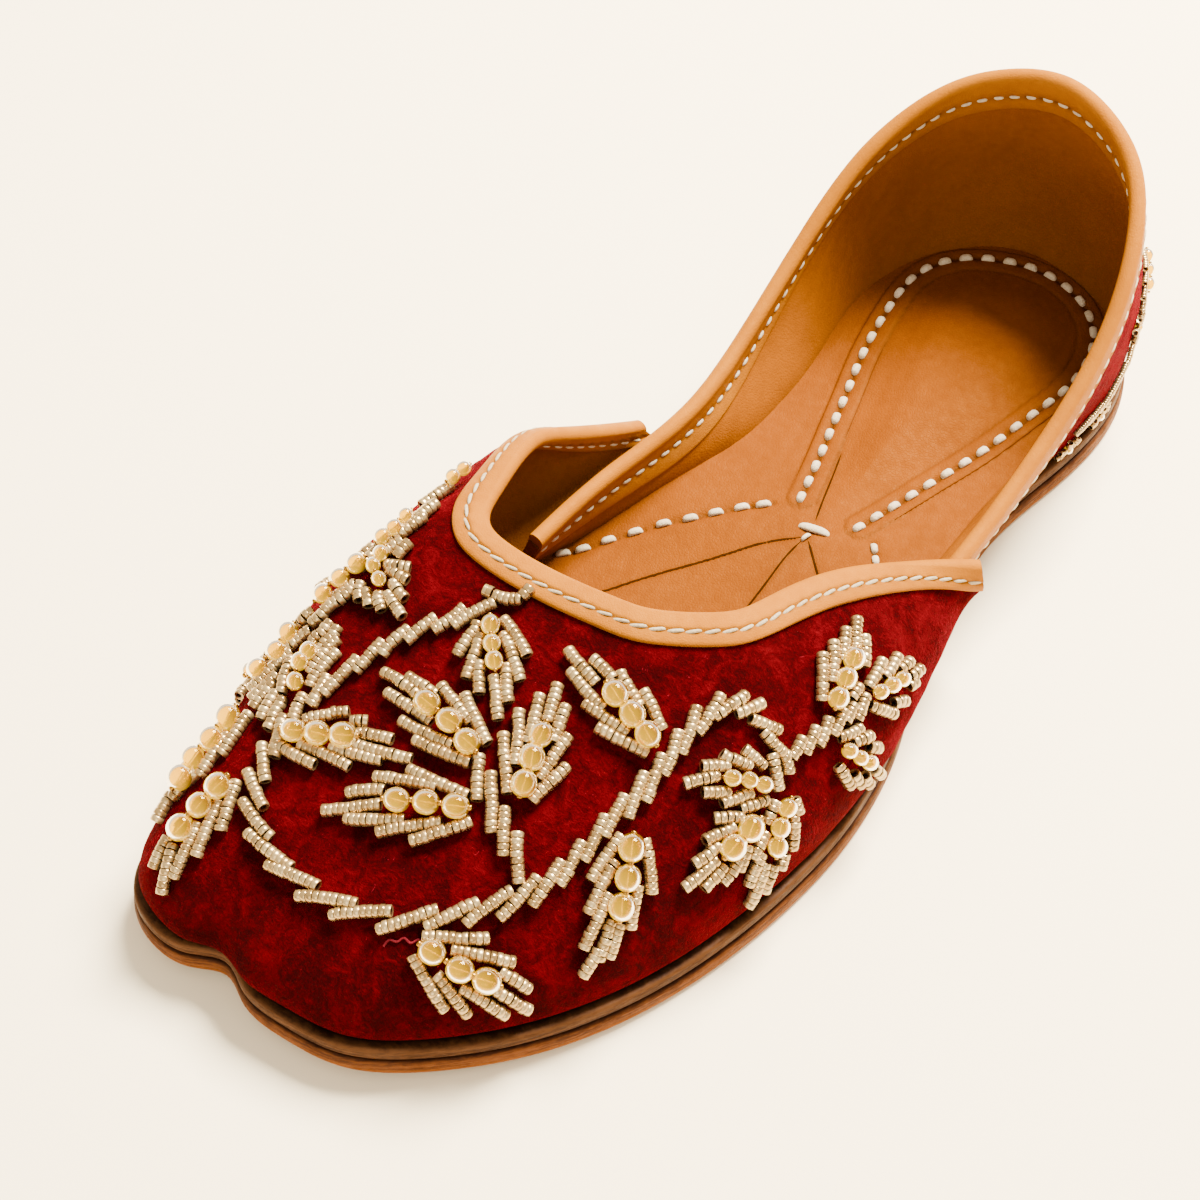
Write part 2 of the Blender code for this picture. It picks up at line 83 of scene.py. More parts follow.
# vamp ribs: place, throat along, across, height, then rise, flare, reach, drop, bow
vampRows = (
    (0.188, 0.367, 0.362, 0.409, 0.136, 0.136, 0.00, 0.136, 0.015),
    (0.215, 0.411, 0.284, 0.480, 0.152, 0.190, 0.12, 0.121, 0.100),
    (0.241, 0.458, 0.227, 0.550, 0.167, 0.160, 0.35, 0.106, 0.080),
    (0.294, 0.536, 0.190, 0.636, 0.190, 0.065, 0.38, 0.091, 0.010),
    (0.350, 0.578, 0.163, 0.679, 0.212, 0.023, 0.38, 0.121, 0.000),
    (0.397, 0.611, 0.082, 0.700, 0.212, 0.015, 0.38, 0.152, 0.000),
    (0.450, 0.627, 0.000, 0.709, 0.212, 0.008, 0.38, 0.167, 0.000),
    (0.500, 0.639, -0.113, 0.712, 0.212, 0.008, 0.38, 0.167, 0.000),
    (0.557, 0.646, -0.237, 0.712, 0.227, 0.040, 0.38, 0.140, 0.000),
    (0.607, 0.643, -0.320, 0.712, 0.273, 0.130, 0.44, 0.070, 0.045),
    (0.650, 0.629, -0.361, 0.709, 0.310, 0.212, 0.50, 0.045, 0.120),
    (0.700, 0.597, -0.402, 0.692, 0.310, 0.220, 0.32, 0.100, 0.165),
    (0.740, 0.542, -0.452, 0.644, 0.280, 0.212, 0.20, 0.136, 0.150),
    (0.775, 0.488, -0.458, 0.500, 0.182, 0.150, 0.00, 0.160, 0.070),
    (0.798, 0.420, -0.468, 0.300, 0.080, 0.060, 0.00, 0.075, 0.010),
)

# quarter ribs: place, behind the waist, half width, shift, height, then rise, flare, drop, bow
quarterRows = (
    (0.000, 0.375, 0.000, 0.000, 0.980, 0.333, 0.061, 0.303, 0.045),
    (0.032, 0.362, 0.143, 0.000, 0.943, 0.333, 0.061, 0.303, 0.045),
    (0.065, 0.328, 0.258, 0.000, 0.862, 0.303, 0.068, 0.273, 0.045),
    (0.097, 0.267, 0.334, 0.000, 0.730, 0.242, 0.076, 0.212, 0.045),
    (0.127, 0.199, 0.360, 0.000, 0.566, 0.182, 0.061, 0.167, 0.045),
    (0.157, 0.119, 0.358, 0.000, 0.424, 0.136, 0.045, 0.121, 0.023),
    (0.189, 0.032, 0.352, 0.004, 0.353, 0.121, 0.015, 0.091, 0.015),
    (0.230, -0.068, 0.366, -0.019, 0.341, 0.076, -0.030, 0.076, 0.030),
    (0.270, -0.159, 0.367, -0.030, 0.356, 0.076, -0.030, 0.076, 0.030),
)


# ---- curves and surfaces of the last
def spline(knots, values, closed=False):
    knots = np.asarray(knots, float)
    values = np.asarray(values, float)
    count = len(knots)
    step = np.diff(knots)
    slope = np.diff(values, axis=0) / step[:, None]
    matrix = np.eye(count)
    right = np.zeros_like(values)
    for i in range(1, count - 1):
        matrix[i, i - 1:i + 2] = (step[i - 1], 2 * (step[i - 1] + step[i]), step[i])
        right[i] = 6 * (slope[i] - slope[i - 1])
    if closed:
        matrix[0, -1] = -1
        matrix[-1] = 0
        matrix[-1, 0] = 2 * step[0]
        matrix[-1, 1] = step[0]
        matrix[-1, -2] = step[-1]
        matrix[-1, -1] = 2 * step[-1]
        right[-1] = 6 * (slope[0] - slope[-1])
    bend = np.linalg.solve(matrix, right)

    def at(where):
        where = np.atleast_1d(np.asarray(where, float))
        i = np.clip(np.searchsorted(knots, where, "right") - 1, 0, count - 2)
        h = step[i][:, None]
        a = (knots[i + 1] - where)[:, None]
        b = (where - knots[i])[:, None]
        cubic = (bend[i] * a ** 3 + bend[i + 1] * b ** 3) / (6 * h)
        straight = (values[i] / h - bend[i] * h / 6) * a + (values[i + 1] / h - bend[i + 1] * h / 6) * b
        return cubic + straight
    return at


def smooth(value, start, end):
    t = np.clip((np.asarray(value, float) - start) / (end - start), 0, 1)
    return t * t * (3 - 2 * t)


def plan(along, across):
    x = shoe["ballWidth"] * np.asarray(across) + shoe["sideShift"]
    y = shoe["length"] * (0.5 - np.asarray(along))
    return np.stack([x, y], axis=-1)


def floorHeight(y):
    share = 0.5 - np.asarray(y) / shoe["length"]
    arch = shoe["archRise"] * smooth(share, 0.30, 0.39) * (1 - smooth(share, 0.42, 0.51))
    spring = shoe["toeSpring"] * np.clip((share - 0.74) / 0.26, 0, 1.2) ** 2
    return arch + spring


def runLength(points):
    return np.concatenate([[0], np.cumsum(np.linalg.norm(np.diff(points, axis=0), axis=1))])


def follow(run, values, where):
    # a line's values at lengths along it
    return np.stack([np.interp(where, run, values[:, k]) for k in range(values.shape[1])], axis=-1)


def unit(vectors):
    return vectors / np.linalg.norm(vectors, axis=-1, keepdims=True)


def fineOutline():
    points = plan([row[0] for row in outlineRows], [row[1] for row in outlineRows])
    points = np.vstack([points, points[:1]])
    chord = np.concatenate([[0], np.cumsum(np.sqrt(np.linalg.norm(np.diff(points, axis=0), axis=1)))])
    curve = spline(chord, points, closed=True)
    outer = curve(np.linspace(0, chord[notchRow], 900))
    inner = curve(np.linspace(chord[notchRow], chord[-1], 900))
    places = []
    for side, start in ((outer, 0.0), (inner, 0.5)):
        run = runLength(side)
        places.append(start + 0.5 * run / run[-1])
    place = np.concatenate([places[0], places[1][1:]])
    point = np.vstack([outer, inner[1:]])
    tangent = np.roll(point[:-1], -1, axis=0) - np.roll(point[:-1], 1, axis=0)
    tangent = unit(np.vstack([tangent, tangent[:1]]))
    return place, point, np.stack([-tangent[:, 1], tangent[:, 0]], axis=1)


outlinePlace, outlinePoint, outlineNormal = fineOutline()


def edgeAt(place, inset=0.0, notchFill=0.0):
    place = np.mod(np.asarray(place, float), 1.0)
    point = follow(outlinePlace, outlinePoint, place)
    normal = unit(follow(outlinePlace, outlineNormal, place))
    point = point - normal * np.broadcast_to(inset, place.shape)[..., None]
    point[..., 1] -= notchFill * np.exp(-((place - 0.5) / 0.016) ** 2)
    return point, normal


def heelFrame(behind, across):
    behind = shoe["length"] * np.asarray(behind)
    across = shoe["ballWidth"] * np.asarray(across)
    start = plan(shoe["waistAlong"], shoe["waistAcross"])
    turn = shoe["heelTurn"]
    x = start[0] + math.cos(turn) * across - math.sin(turn) * behind
    y = start[1] + math.sin(turn) * across + math.cos(turn) * behind
    return np.stack([x, y], axis=-1)


def ribPoints(base, normal, top, topHeight, rise, flare, reach, drop, bow, lift):
    zero = np.zeros(len(base))
    outward = np.column_stack([normal, zero])
    start = np.column_stack([base, upperSeat + floorHeight(base[:, 1]) + lift])
    end = np.column_stack([top, topHeight])
    up = np.array([0.0, 0.0, shoe["heelHeight"]])
    first = start + rise[:, None] * up + (flare * shoe["heelHeight"])[:, None] * outward
    level = np.column_stack([base - top, zero])
    second = end + reach[:, None] * level - drop[:, None] * up + (bow * shoe["heelHeight"])[:, None] * outward
    t = np.linspace(0, 1, 61)[None, :, None]
    points = start[:, None] * (1 - t) ** 3 + 3 * first[:, None] * t * (1 - t) ** 2
    points = points + 3 * second[:, None] * t ** 2 * (1 - t) + end[:, None] * t ** 3
    return points[:, ::-1]


vampTable = spline([row[0] for row in vampRows], [row[1:] for row in vampRows])
mirroredRows = [(-row[0], row[1], -row[2]) + row[3:] for row in quarterRows[:0:-1]]
quarterTable = spline([row[0] for row in mirroredRows] + [row[0] for row in quarterRows],
                      [row[1:] for row in mirroredRows] + [row[1:] for row in quarterRows])


def vampRibs(place):
    table = vampTable(place)
    base, normal = edgeAt(place, shoe["weltShow"], shoe["notchFill"])
    rise, flare, reach, drop, bow = (table[:, k] for k in (3, 4, 5, 6, 7))
    return ribPoints(base, normal, plan(table[:, 0], table[:, 1]), shoe["heelHeight"] * table[:, 2],
                     rise, flare, reach, drop, bow, 0.0)


def quarterRibs(place):
    table = quarterTable(place)
    under = smooth(np.abs(place), 0.150, 0.184)
    base, normal = edgeAt(place, shoe["weltShow"] + shoe["seamDepth"] * under, shoe["notchFill"])
    rise, flare, drop, bow = (table[:, k] for k in (4, 5, 6, 7))
    return ribPoints(base, normal, heelFrame(table[:, 0], table[:, 1] + table[:, 2]),
                     shoe["heelHeight"] * table[:, 3], rise, flare, 0 * rise, drop, bow, 0.5 * mm * under)


walls = {
    "vamp": {"ribs": vampRibs, "range": shoe["vampRange"], "edge": shoe["vampRoll"] + shoe["gap"],
             "wall": shoe["vampWall"]},
    "quarter": {"ribs": quarterRibs, "range": shoe["quarterRange"], "edge": shoe["quarterRoll"] + shoe["gap"],
                "wall": shoe["quarterWall"]},
}


def alongRibs(ribs, distance, edgeDrop):
    found = np.zeros((len(ribs), np.shape(distance)[-1], 3))
    distance = np.broadcast_to(distance, found.shape[:2])
    for i, rib in enumerate(ribs):
        want = distance[i] + edgeDrop
        beyond = np.clip(-want, 0, None)[:, None]
        found[i] = follow(runLength(rib), rib, want) + beyond * unit(rib[0] - rib[3])
    return found


def wallSurface(wall, place, distance):
    # points on a wall's outer face, and the way out of it, at distances below its edge
    part = walls[wall]
    low, high = part["range"]
    step, small = 0.0015, 0.6 * mm
    place = np.asarray(place, float)
    distance = np.asarray(distance, float)
    here = part["ribs"](place)
    centre = alongRibs(here, distance, part["edge"])
    before = alongRibs(part["ribs"](np.clip(place - step, low, None)), distance, part["edge"])
    after = alongRibs(part["ribs"](np.clip(place + step, None, high)), distance, part["edge"])
    down = alongRibs(here, distance + small, part["edge"])
    up = alongRibs(here, distance - small, part["edge"])
    return centre, unit(np.cross(after - before, down - up))


def wallPoint(wall, place, distance):
    # one point for each pair of place and distance
    place = np.atleast_1d(np.asarray(place, float))
    distance = np.broadcast_to(np.asarray(distance, float), place.shape)
    centre, normal = wallSurface(wall, place, distance[:, None])
    return centre[:, 0], normal[:, 0]


def stations(wall, count, crowding=0.4):
    low, high = walls[wall]["range"]
    t = np.linspace(0, 1, count)
    return low + (high - low) * (t - crowding * np.sin(2 * np.pi * t) / (2 * np.pi))


def wobble(value, seed, waves=5):
    # smooth made-up unevenness, about one high in all
    made = np.random.default_rng(seed)
    total = 0.0
    for k in range(1, waves + 1):
        height, stretch, shift = made.uniform(0.4, 1.0), made.uniform(0.8, 1.2), made.uniform(0, 6.28)
        total = total + height * np.sin(2 * np.pi * k * np.asarray(value) * stretch + shift) / k ** 0.6
    return total / 2


# ---- finishes: sockets as values, nodes from one method
class Wire:
    def __init__(self, finish, socket):
        self.finish = finish
        self.socket = socket

    def sum(self, operation, other):
        return self.finish.node("ShaderNodeMath", {"operation": operation}, {0: self, 1: other})

    def __add__(self, other):
        return self.sum("ADD", other)

    def __mul__(self, other):
        return self.sum("MULTIPLY", other)


class Finish:
    def __init__(self, name, **shader):
        self.material = bpy.data.materials.new(name)
        self.material.use_nodes = True
        self.nodes = self.material.node_tree.nodes
        self.links = self.material.node_tree.links
        self.shader = self.nodes["Principled BSDF"]
        self.spot = self.node("ShaderNodeTexCoord", {}, {}, "Object")
        for socket, value in shader.items():
            self.set(socket, value)

    def node(self, kind, settings, sockets, out=0):
        made = self.nodes.new(kind)
        for key, value in settings.items():
            if key == "stops":
                while len(made.color_ramp.elements) < len(value):
                    made.color_ramp.elements.new(0.5)
                for element, (where, colour) in zip(made.color_ramp.elements, value):
                    element.position = where
                    element.color = (*colour, 1) if len(colour) == 3 else colour
            else:
                setattr(made, key, value)
        for key, value in sockets.items():
            self.feed(made.inputs[key], value)
        return Wire(self, made.outputs[out])

    def feed(self, socket, value):
        if isinstance(value, Wire):
            self.links.new(value.socket, socket)
        elif isinstance(value, tuple) and len(value) == 3 and socket.type == "RGBA":
            socket.default_value = (*value, 1)
        else:
            socket.default_value = value

    def set(self, socket, value):
        self.feed(self.shader.inputs[socket.replace("_", " ")], value)

    def noise(self, size, detail=3, roughness=0.55, stretch=(1, 1, 1), distortion=0.0):
        spot = self.spot
        if stretch != (1, 1, 1):
            spot = self.node("ShaderNodeMapping", {}, {"Vector": spot, "Scale": stretch})
        return self.node("ShaderNodeTexNoise", {}, {"Vector": spot, "Scale": 1 / size, "Detail": detail,
                                                   "Roughness": roughness, "Distortion": distortion})

    def cells(self, size):
        return self.node("ShaderNodeTexVoronoi", {"feature": "DISTANCE_TO_EDGE"},
                         {"Vector": self.spot, "Scale": 1 / size})

    def island(self):
        # a number of its own for each loose part of the mesh
        return self.node("ShaderNodeNewGeometry", {}, {}, "Random Per Island")

    def between(self, value, low, high, start=0.0, end=1.0):
        return self.node("ShaderNodeMapRange", {"interpolation_type": "SMOOTHSTEP"},
                         {"Value": value, "From Min": low, "From Max": high, "To Min": start, "To Max": end})

    def mix(self, factor, one, two):
        return self.node("ShaderNodeMix", {"data_type": "RGBA"}, {0: factor, 6: one, 7: two}, 2)

    def ramp(self, value, stops):
        return self.node("ShaderNodeValToRGB", {"stops": stops}, {"Fac": value})

    def mark(self, name):
        # a number kept on the mesh's points
        return self.node("ShaderNodeAttribute", {"attribute_name": name}, {}, "Fac")

    def bump(self, height, strength, depth, normal=None):
        sockets = {"Height": height, "Strength": strength, "Distance": depth}
        if normal is not None:
            sockets["Normal"] = normal
        return self.node("ShaderNodeBump", {}, sockets)


# ---- meshes
def meshPiece(name, points, faces, finish, slot, sharp=50, marks=None, rides=True):
    mesh = bpy.data.meshes.new(name)
    mesh.from_pydata(np.asarray(points, float).tolist(), [], [list(map(int, face)) for face in faces])
    mesh.validate()
    mesh.update()
    mesh.shade_smooth()
    mesh.set_sharp_from_angle(angle=math.radians(sharp))
    for key, values in (marks or {}).items():
        layer = mesh.attributes.new(key, "FLOAT", "POINT")
        layer.data.foreach_set("value", np.asarray(values, np.float32))
    piece = bpy.data.objects.new(name, mesh)
    bpy.context.scene.collection.objects.link(piece)
    mesh.materials.append(finish.material)
    if rides:
        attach(piece, "root")
    return piece


def treeOf(piece):
    return BVHTree.FromObject(piece, bpy.context.evaluated_depsgraph_get())


def gridFaces(rows, columns, start=0, flip=False):
    i, j = np.meshgrid(np.arange(rows - 1), np.arange(columns - 1), indexing="ij")
    a = (start + i * columns + j).ravel()
    quads = np.stack([a, a + 1, a + columns + 1, a + columns], axis=1)
    return quads[:, ::-1] if flip else quads


def closedSheet(outer, inner):
    # two faces of a sheet, joined along its four edges
    rows, columns = outer.shape[:2]
    count = rows * columns
    points = np.vstack([outer.reshape(-1, 3), inner.reshape(-1, 3)])
    faces = [gridFaces(rows, columns, 0, True), gridFaces(rows, columns, count)]
    rim = []
    for i in range(rows - 1):
        top, foot = i * columns, i * columns + columns - 1
        rim.append((top, top + count, top + columns + count, top + columns))
        rim.append((foot, foot + columns, foot + columns + count, foot + count))
    last = (rows - 1) * columns
    for j in range(columns - 1):
        rim.append((j, j + 1, j + 1 + count, j + count))
        rim.append((last + j, last + j + count, last + j + 1 + count, last + j + 1))
    return points, np.vstack(faces + [np.array(rim)])


def ringFaces(rings, sides, closed=False):
    # faces between rings of points; the two ends are capped unless the rings close on themselves
    faces = []
    for i in range(rings if closed else rings - 1):
        a, b = i * sides, (i + 1) % rings * sides
        faces += [[a + k, b + k, b + (k + 1) % sides, a + (k + 1) % sides] for k in range(sides)]
    if not closed:
        faces += [list(range(sides)), [(rings - 1) * sides + k for k in reversed(range(sides))]]
    return faces


def sweptStrip(sections):
    return sections.reshape(-1, 3), ringFaces(*sections.shape[:2])


def copies(template, places, turns, sizes=None):
    # many copies of a small mesh as one: turns are 3x3 matrices, sizes one factor or three
    points, faces = template
    points = np.asarray(points, float)
    count = len(points)
    turns = np.asarray(turns, float)
    sizes = np.ones((len(places), 3)) if sizes is None else np.broadcast_to(sizes, (len(places), 3))
    moved = np.einsum("nij,npj->npi", turns, points[None] * sizes[:, None]) + np.asarray(places)[:, None]
    many = []
    for n in range(len(places)):
        many += [[v + n * count for v in face] for face in faces]
    return moved.reshape(-1, 3), many


def turned(ahead, up):
    # matrices whose first axis is ahead and whose third axis is up
    ahead = unit(ahead)
    side = unit(np.cross(up, ahead))
    return np.stack([ahead, side, np.cross(ahead, side)], axis=-1)


def ringTemplate(profile, sides, closed=False):
    # rings about the first axis from (along, radius) pairs
    angles = [2 * math.pi * k / sides for k in range(sides)]
    points = [(along, radius * math.cos(a), radius * math.sin(a))
              for along, radius in profile for a in angles]
    return points, ringFaces(len(profile), sides, closed)


def ringFill(loop, halfCount, across):
    # a loop's points with those that fill it, and the lines of points from one half across to the other
    count = len(loop)
    flat = [tuple(p) for p in loop]
    lines = [[0]]
    for i in range(1, halfCount):
        outer, inner = i, count - i
        line = [outer]
        half = abs(flat[outer][0] - flat[inner][0]) / 2
        ahead = 0.5 - (flat[outer][1] + flat[inner][1]) / (2 * shoe["length"])
        bow = (0.7 * min(half, 15 * mm) + 0.1 * min(half, 40 * mm)) * float(smooth(ahead, 0.3, 0.9))
        for s in range(1, across):
            t = s / across
            line.append(len(flat))
            flat.append((flat[outer][0] * (1 - t) + flat[inner][0] * t,
                         flat[outer][1] * (1 - t) + flat[inner][1] * t + bow * math.sqrt(4 * t * (1 - t))))
        lines.append(line + [inner])
    return np.array(flat), lines + [[halfCount]]


def fillFaces(lines, start, flip):
    faces = []
    for one, two in zip(lines[:-1], lines[1:]):
        if len(one) == 1:
            made = [(one[0], a, b) for a, b in zip(two[:-1], two[1:])]
        elif len(two) == 1:
            made = [(two[0], b, a) for a, b in zip(one[:-1], one[1:])]
        else:
            made = [(one[j], two[j], two[j + 1], one[j + 1]) for j in range(len(one) - 1)]
        faces += [tuple(v + start for v in (face[::-1] if flip else face)) for face in made]
    return faces


# ---- camera at the photograph's angle
view = {
    "azimuth": 46.59,
    "elevation": 51.6,
    "roll": -2.66,
    "focus": 2807.7,  # pixels of the 1200 wide picture
    "place": (234.25, -254.6, 453.3),  # millimetres
    "picture": 1200,
    "sensor": 36,
    "nearest": 0.01,
    "search": (0.42, 0.72, 160),  # metres along a sight line that misses
}


def cameraAxes():
    a, e, r = (math.radians(view[key]) for key in ("azimuth", "elevation", "roll"))
    back = np.array([math.sin(a) * math.cos(e), -math.cos(a) * math.cos(e), math.sin(e)])
    right = np.array([math.cos(a), math.sin(a), 0])
    up = np.cross(back, right)
    return right * math.cos(r) + up * math.sin(r), -right * math.sin(r) + up * math.cos(r), back


rightWay, upWay, backWay = cameraAxes()
eye = np.array(view["place"]) * mm
cameraData = bpy.data.cameras.new("camera")
cameraData.sensor_width = view["sensor"]
cameraData.lens = view["focus"] / view["picture"] * cameraData.sensor_width
cameraData.clip_start = view["nearest"]
camera = bpy.data.objects.new("camera", cameraData)
bpy.context.scene.collection.objects.link(camera)
camera.matrix_world = Matrix([*np.column_stack([rightWay, upWay, backWay, eye]).tolist(), [0, 0, 0, 1]])
bpy.context.scene.camera = camera


def toPicture(points):
    away = np.atleast_2d(points) - eye
    depth = -away @ backWay
    half = view["picture"] / 2
    return np.column_stack([half + view["focus"] * (away @ rightWay) / depth,
                            half - view["focus"] * (away @ upWay) / depth])


def lookWay(pixel):
    half = view["picture"] / 2
    way = (pixel[0] - half) / view["focus"] * rightWay - (pixel[1] - half) / view["focus"] * upWay - backWay
    return unit(way)


def findOn(tree, pixel):
    # where the sight line of a picture point meets a surface, or passes closest to it
    way = lookWay(pixel)
    place, normal, _, _ = tree.ray_cast(Vector(eye), Vector(way))
    if place is None:
        best = None
        for t in np.linspace(*view["search"]):
            near, out, _, far = tree.find_nearest(Vector(eye + way * t))
            if near is not None and (best is None or far < best[2]):
                best = (near, out, far)
        place, normal = best[0], best[1]
    return np.array(place), np.array(normal)


def raisedOn(tree, pixel, height):
    # a point at a height above the surface that is seen at the picture point
    aim = np.array(pixel, float)
    for _ in range(3):
        place, normal = findOn(tree, aim)
        centre = place + normal * height
        aim = aim + 0.9 * (np.array(pixel, float) - toPicture(centre)[0])
    return centre, normal


print("camera set")

# ---- finishes
velvetLooks = {
    "deep": (0.015, 0.00004, 0.0003),
    "bright": (0.100, 0.0002, 0.0022),
    "sheen": (1.0, 0.005, 0.03),
    "brightFlecks": (0.42, 0.012, 0.03),
    # painted shade: near-black for the velvet's foot, where it tucks in at the sole
    "foot": (0.005, 0.00002, 0.0001),
    "pile": 0.5 * mm,
    "patches": 11 * mm,
    "crushed": 3.2 * mm,
    "streaks": 1.5 * mm,
}


def velvetFinish():
    made = Finish("crimsonVelvet", Roughness=0.95, Sheen_Weight=0.26, Sheen_Roughness=0.24,
                  Sheen_Tint=velvetLooks["sheen"], Specular_IOR_Level=0.02)
    patches = made.noise(velvetLooks["patches"], 4, 0.65, distortion=0.8)
    crushed = made.noise(velvetLooks["crushed"], 5, 0.7, distortion=1.4)
    pile = made.noise(velvetLooks["pile"], 3, 0.7)
    streaks = made.noise(velvetLooks["streaks"], 4, 0.75, (1, 2.4, 1), 1.0)
    light = made.between(patches * 0.5 + crushed * 0.5, 0.40, 0.68)
    light = light * 0.62 + made.between(streaks, 0.52, 0.74) * 0.30 + made.between(pile, 0.40, 0.78) * 0.22
    colour = made.mix(light, velvetLooks["deep"], velvetLooks["bright"])
    # small bright red flecks scattered over the pile
    brightFlecks = made.between(made.noise(1.0 * mm, 3, 0.6, (1.0, 0.4, 1.0), 2.5), 0.70, 0.76)
    colour = made.mix(brightFlecks * 0.45, colour, velvetLooks["brightFlecks"])
    # painted shade darkens the velvet towards its foot, where it tucks in at the sole
    made.set("Base_Color", made.mix(made.mark("foot") * 0.75, colour, velvetLooks["foot"]))
    bump = made.bump(pile, 0.6, 0.35 * mm)
    made.set("Normal", made.bump(crushed + streaks * 0.7, 0.55, 0.9 * mm, bump))
    return made


leatherLooks = {
    # two tones, pore size, roughness, grain
    "binding": ((0.31, 0.098, 0.0006), (0.225, 0.063, 0.0004), 0.5 * mm, 0.5, 0.26),
    "lining": ((0.225, 0.060, 0.0003), (0.155, 0.039, 0.0002), 0.6 * mm, 0.6, 0.28),
    "insole": ((0.145, 0.033, 0.0001), (0.095, 0.020, 0.0001), 0.7 * mm, 0.55, 0.26),
    # near-black for the insole's seams: dark joints, with painted shade below the overlapping edge
    "seam": ((0.016, 0.0035, 0.0003), (0.009, 0.002, 0.0002), 0.7 * mm, 0.8, 0.1),
    # painted shade for the pad's creases
    "crease": ((0.080, 0.016, 0.0004), (0.055, 0.011, 0.0003), 0.7 * mm, 0.8, 0.1),
}


def leatherFinish(name, light, dark, size, roughness, grain):
    made = Finish(name, Specular_IOR_Level=0.1, Specular_Tint=(1.0, 0.45, 0.02))
    tone = made.noise(14 * mm, 4, 0.6)
    fine = made.noise(2.2 * mm, 4, 0.65)
    pores = made.cells(size)
    colour = made.mix(made.between(tone * 0.6 + fine * 0.4, 0.34, 0.70) * 0.6, light, dark)
    made.set("Base_Color", made.mix(made.mark("shade"), colour, tuple(0.32 * c for c in dark)))
    made.set("Roughness", made.between(fine, 0.3, 0.7, roughness - 0.07, roughness + 0.09))
    skin = made.bump(made.between(pores, 0.0, 0.22) + fine * 0.8, grain, 0.22 * mm)
    made.set("Normal", made.bump(made.noise(0.8 * mm, 4, 0.6), 0.22, 0.2 * mm, skin))
    return made


finishes = {"velvet": velvetFinish()}
for key, looks in leatherLooks.items():
    finishes[key] = leatherFinish(key + "Leather", *looks)

soleFinishLooks = {
    # two tones and the burnished edge
    "outsole": ((0.165, 0.048, 0.009), (0.046, 0.012, 0.0022), (0.24, 0.070, 0.007)),
    "midsole": ((0.088, 0.032, 0.009), (0.020, 0.006, 0.0016), (0.085, 0.031, 0.008)),
}


def soleFinish(name, light, dark, edge):
    # layered cut edge of leather: streaks along the layers, a burnished edge where marked
    made = Finish(name, Specular_IOR_Level=0.06)
    layers = made.noise(1.5 * mm, 5, 0.72, (0.10, 0.10, 2.4), 0.4)
    grime = made.noise(5 * mm, 4, 0.65)
    fine = made.noise(0.7 * mm, 4, 0.7, (0.35, 0.35, 2))
    colour = made.mix(made.between(layers * 0.65 + fine * 0.35, 0.42, 0.58), dark, light)
    colour = made.mix(made.between(grime, 0.45, 0.75) * 0.55, colour, tuple(0.5 * c for c in dark))
    colour = made.mix(made.mark("burnish") * made.between(fine, 0.2, 0.6, 0.45, 1.0), colour, edge)
    colour = made.mix(made.mark("shade"), colour, tuple(0.22 * c for c in dark))
    made.set("Base_Color", colour)
    made.set("Roughness", made.between(grime, 0.3, 0.7, 0.42, 0.62))
    made.set("Normal", made.bump(layers + fine * 0.6, 0.5, 0.4 * mm))
    return made


for key, looks in soleFinishLooks.items():
    finishes[key] = soleFinish(key + "Leather", *looks)

threadLooks = {
    "whiteThread": ((0.60, 0.48, 0.31), (0.38, 0.27, 0.14)),
    "tanThread": ((0.46, 0.36, 0.22), (0.26, 0.16, 0.07)),
    "redThread": ((0.16, 0.006, 0.012), (0.07, 0.002, 0.005)),
}


def threadFinish(name, colour, shade):
    made = Finish(name, Roughness=0.6, Sheen_Weight=0.15, Specular_IOR_Level=0.1,
                  Sheen_Tint=tuple(min(1.0, 1.8 * c) for c in colour))
    ply = made.noise(0.35 * mm, 2, 0.5)
    island = made.island()
    made.set("Base_Color", made.mix(made.between(ply, 0.35, 0.7) * 0.5 + island * 0.3, colour, shade))
    made.set("Normal", made.bump(ply, 0.6, 0.2 * mm))
    return made


for key, looks in threadLooks.items():
    finishes[key] = threadFinish(key, *looks)


beadTones = {
    "silver": [(0.0, (0.33, 0.195, 0.062)), (0.35, (0.45, 0.29, 0.105)), (0.75, (0.54, 0.375, 0.155)),
               (1.0, (0.38, 0.225, 0.070))],
    # painted shade for the ends round each seed bead's hole
    "paintedHoleShade": (0.05, 0.018, 0.006),
    "amber": ((0.56, 0.29, 0.0005), (0.45, 0.21, 0.0003)),
    # painted glow for the amber's emission, dark to bright
    "paintedAmberGlow": ((0.10, 0.045, 0.0), (1.1, 0.60, 0.0)),
    "gold": ((0.42, 0.22, 0.03), (0.28, 0.13, 0.015)),
}


def beadFinish():
    made = Finish("silverBeads", Metallic=0.8, Coat_Weight=0.3, Coat_Roughness=0.06)
    island = made.island()
    colour = made.ramp(island, beadTones["silver"])
    # painted shade darkens each seed bead's ends towards its hole
    made.set("Base_Color", made.mix(made.mark("shade"), colour, beadTones["paintedHoleShade"]))
    made.set("Roughness", made.between(island, 0, 1, 0.17, 0.32))
    return made


def amberFinish():
    made = Finish("amberBeads", Roughness=0.03, IOR=1.36, Transmission_Weight=0.92, Emission_Strength=1.0,
                  Specular_IOR_Level=0.2, Specular_Tint=(1.0, 0.62, 0.08))
    made.set("Base_Color", made.mix(made.island(), *beadTones["amber"]))
    # painted glow: emission on the side of each bead turned from the lamp stands in for light gathered in the
    # glass
    made.set("Emission_Color", made.mix(made.mark("glow"), *beadTones["paintedAmberGlow"]))
    return made


def goldFinish():
    made = Finish("goldBeads", Metallic=1.0, Roughness=0.25)
    made.set("Base_Color", made.mix(made.island(), *beadTones["gold"]))
    return made


finishes["beads"] = beadFinish()
finishes["amber"] = amberFinish()
finishes["gold"] = goldFinish()
print("finishes made")

# ---- sole layers
soleLooks = {
    "halfCount": 230,
    "unevenness": 0.13 * mm,
    "midsoleInset": 0.5 * mm,
    "innerShade": 0.3,
}


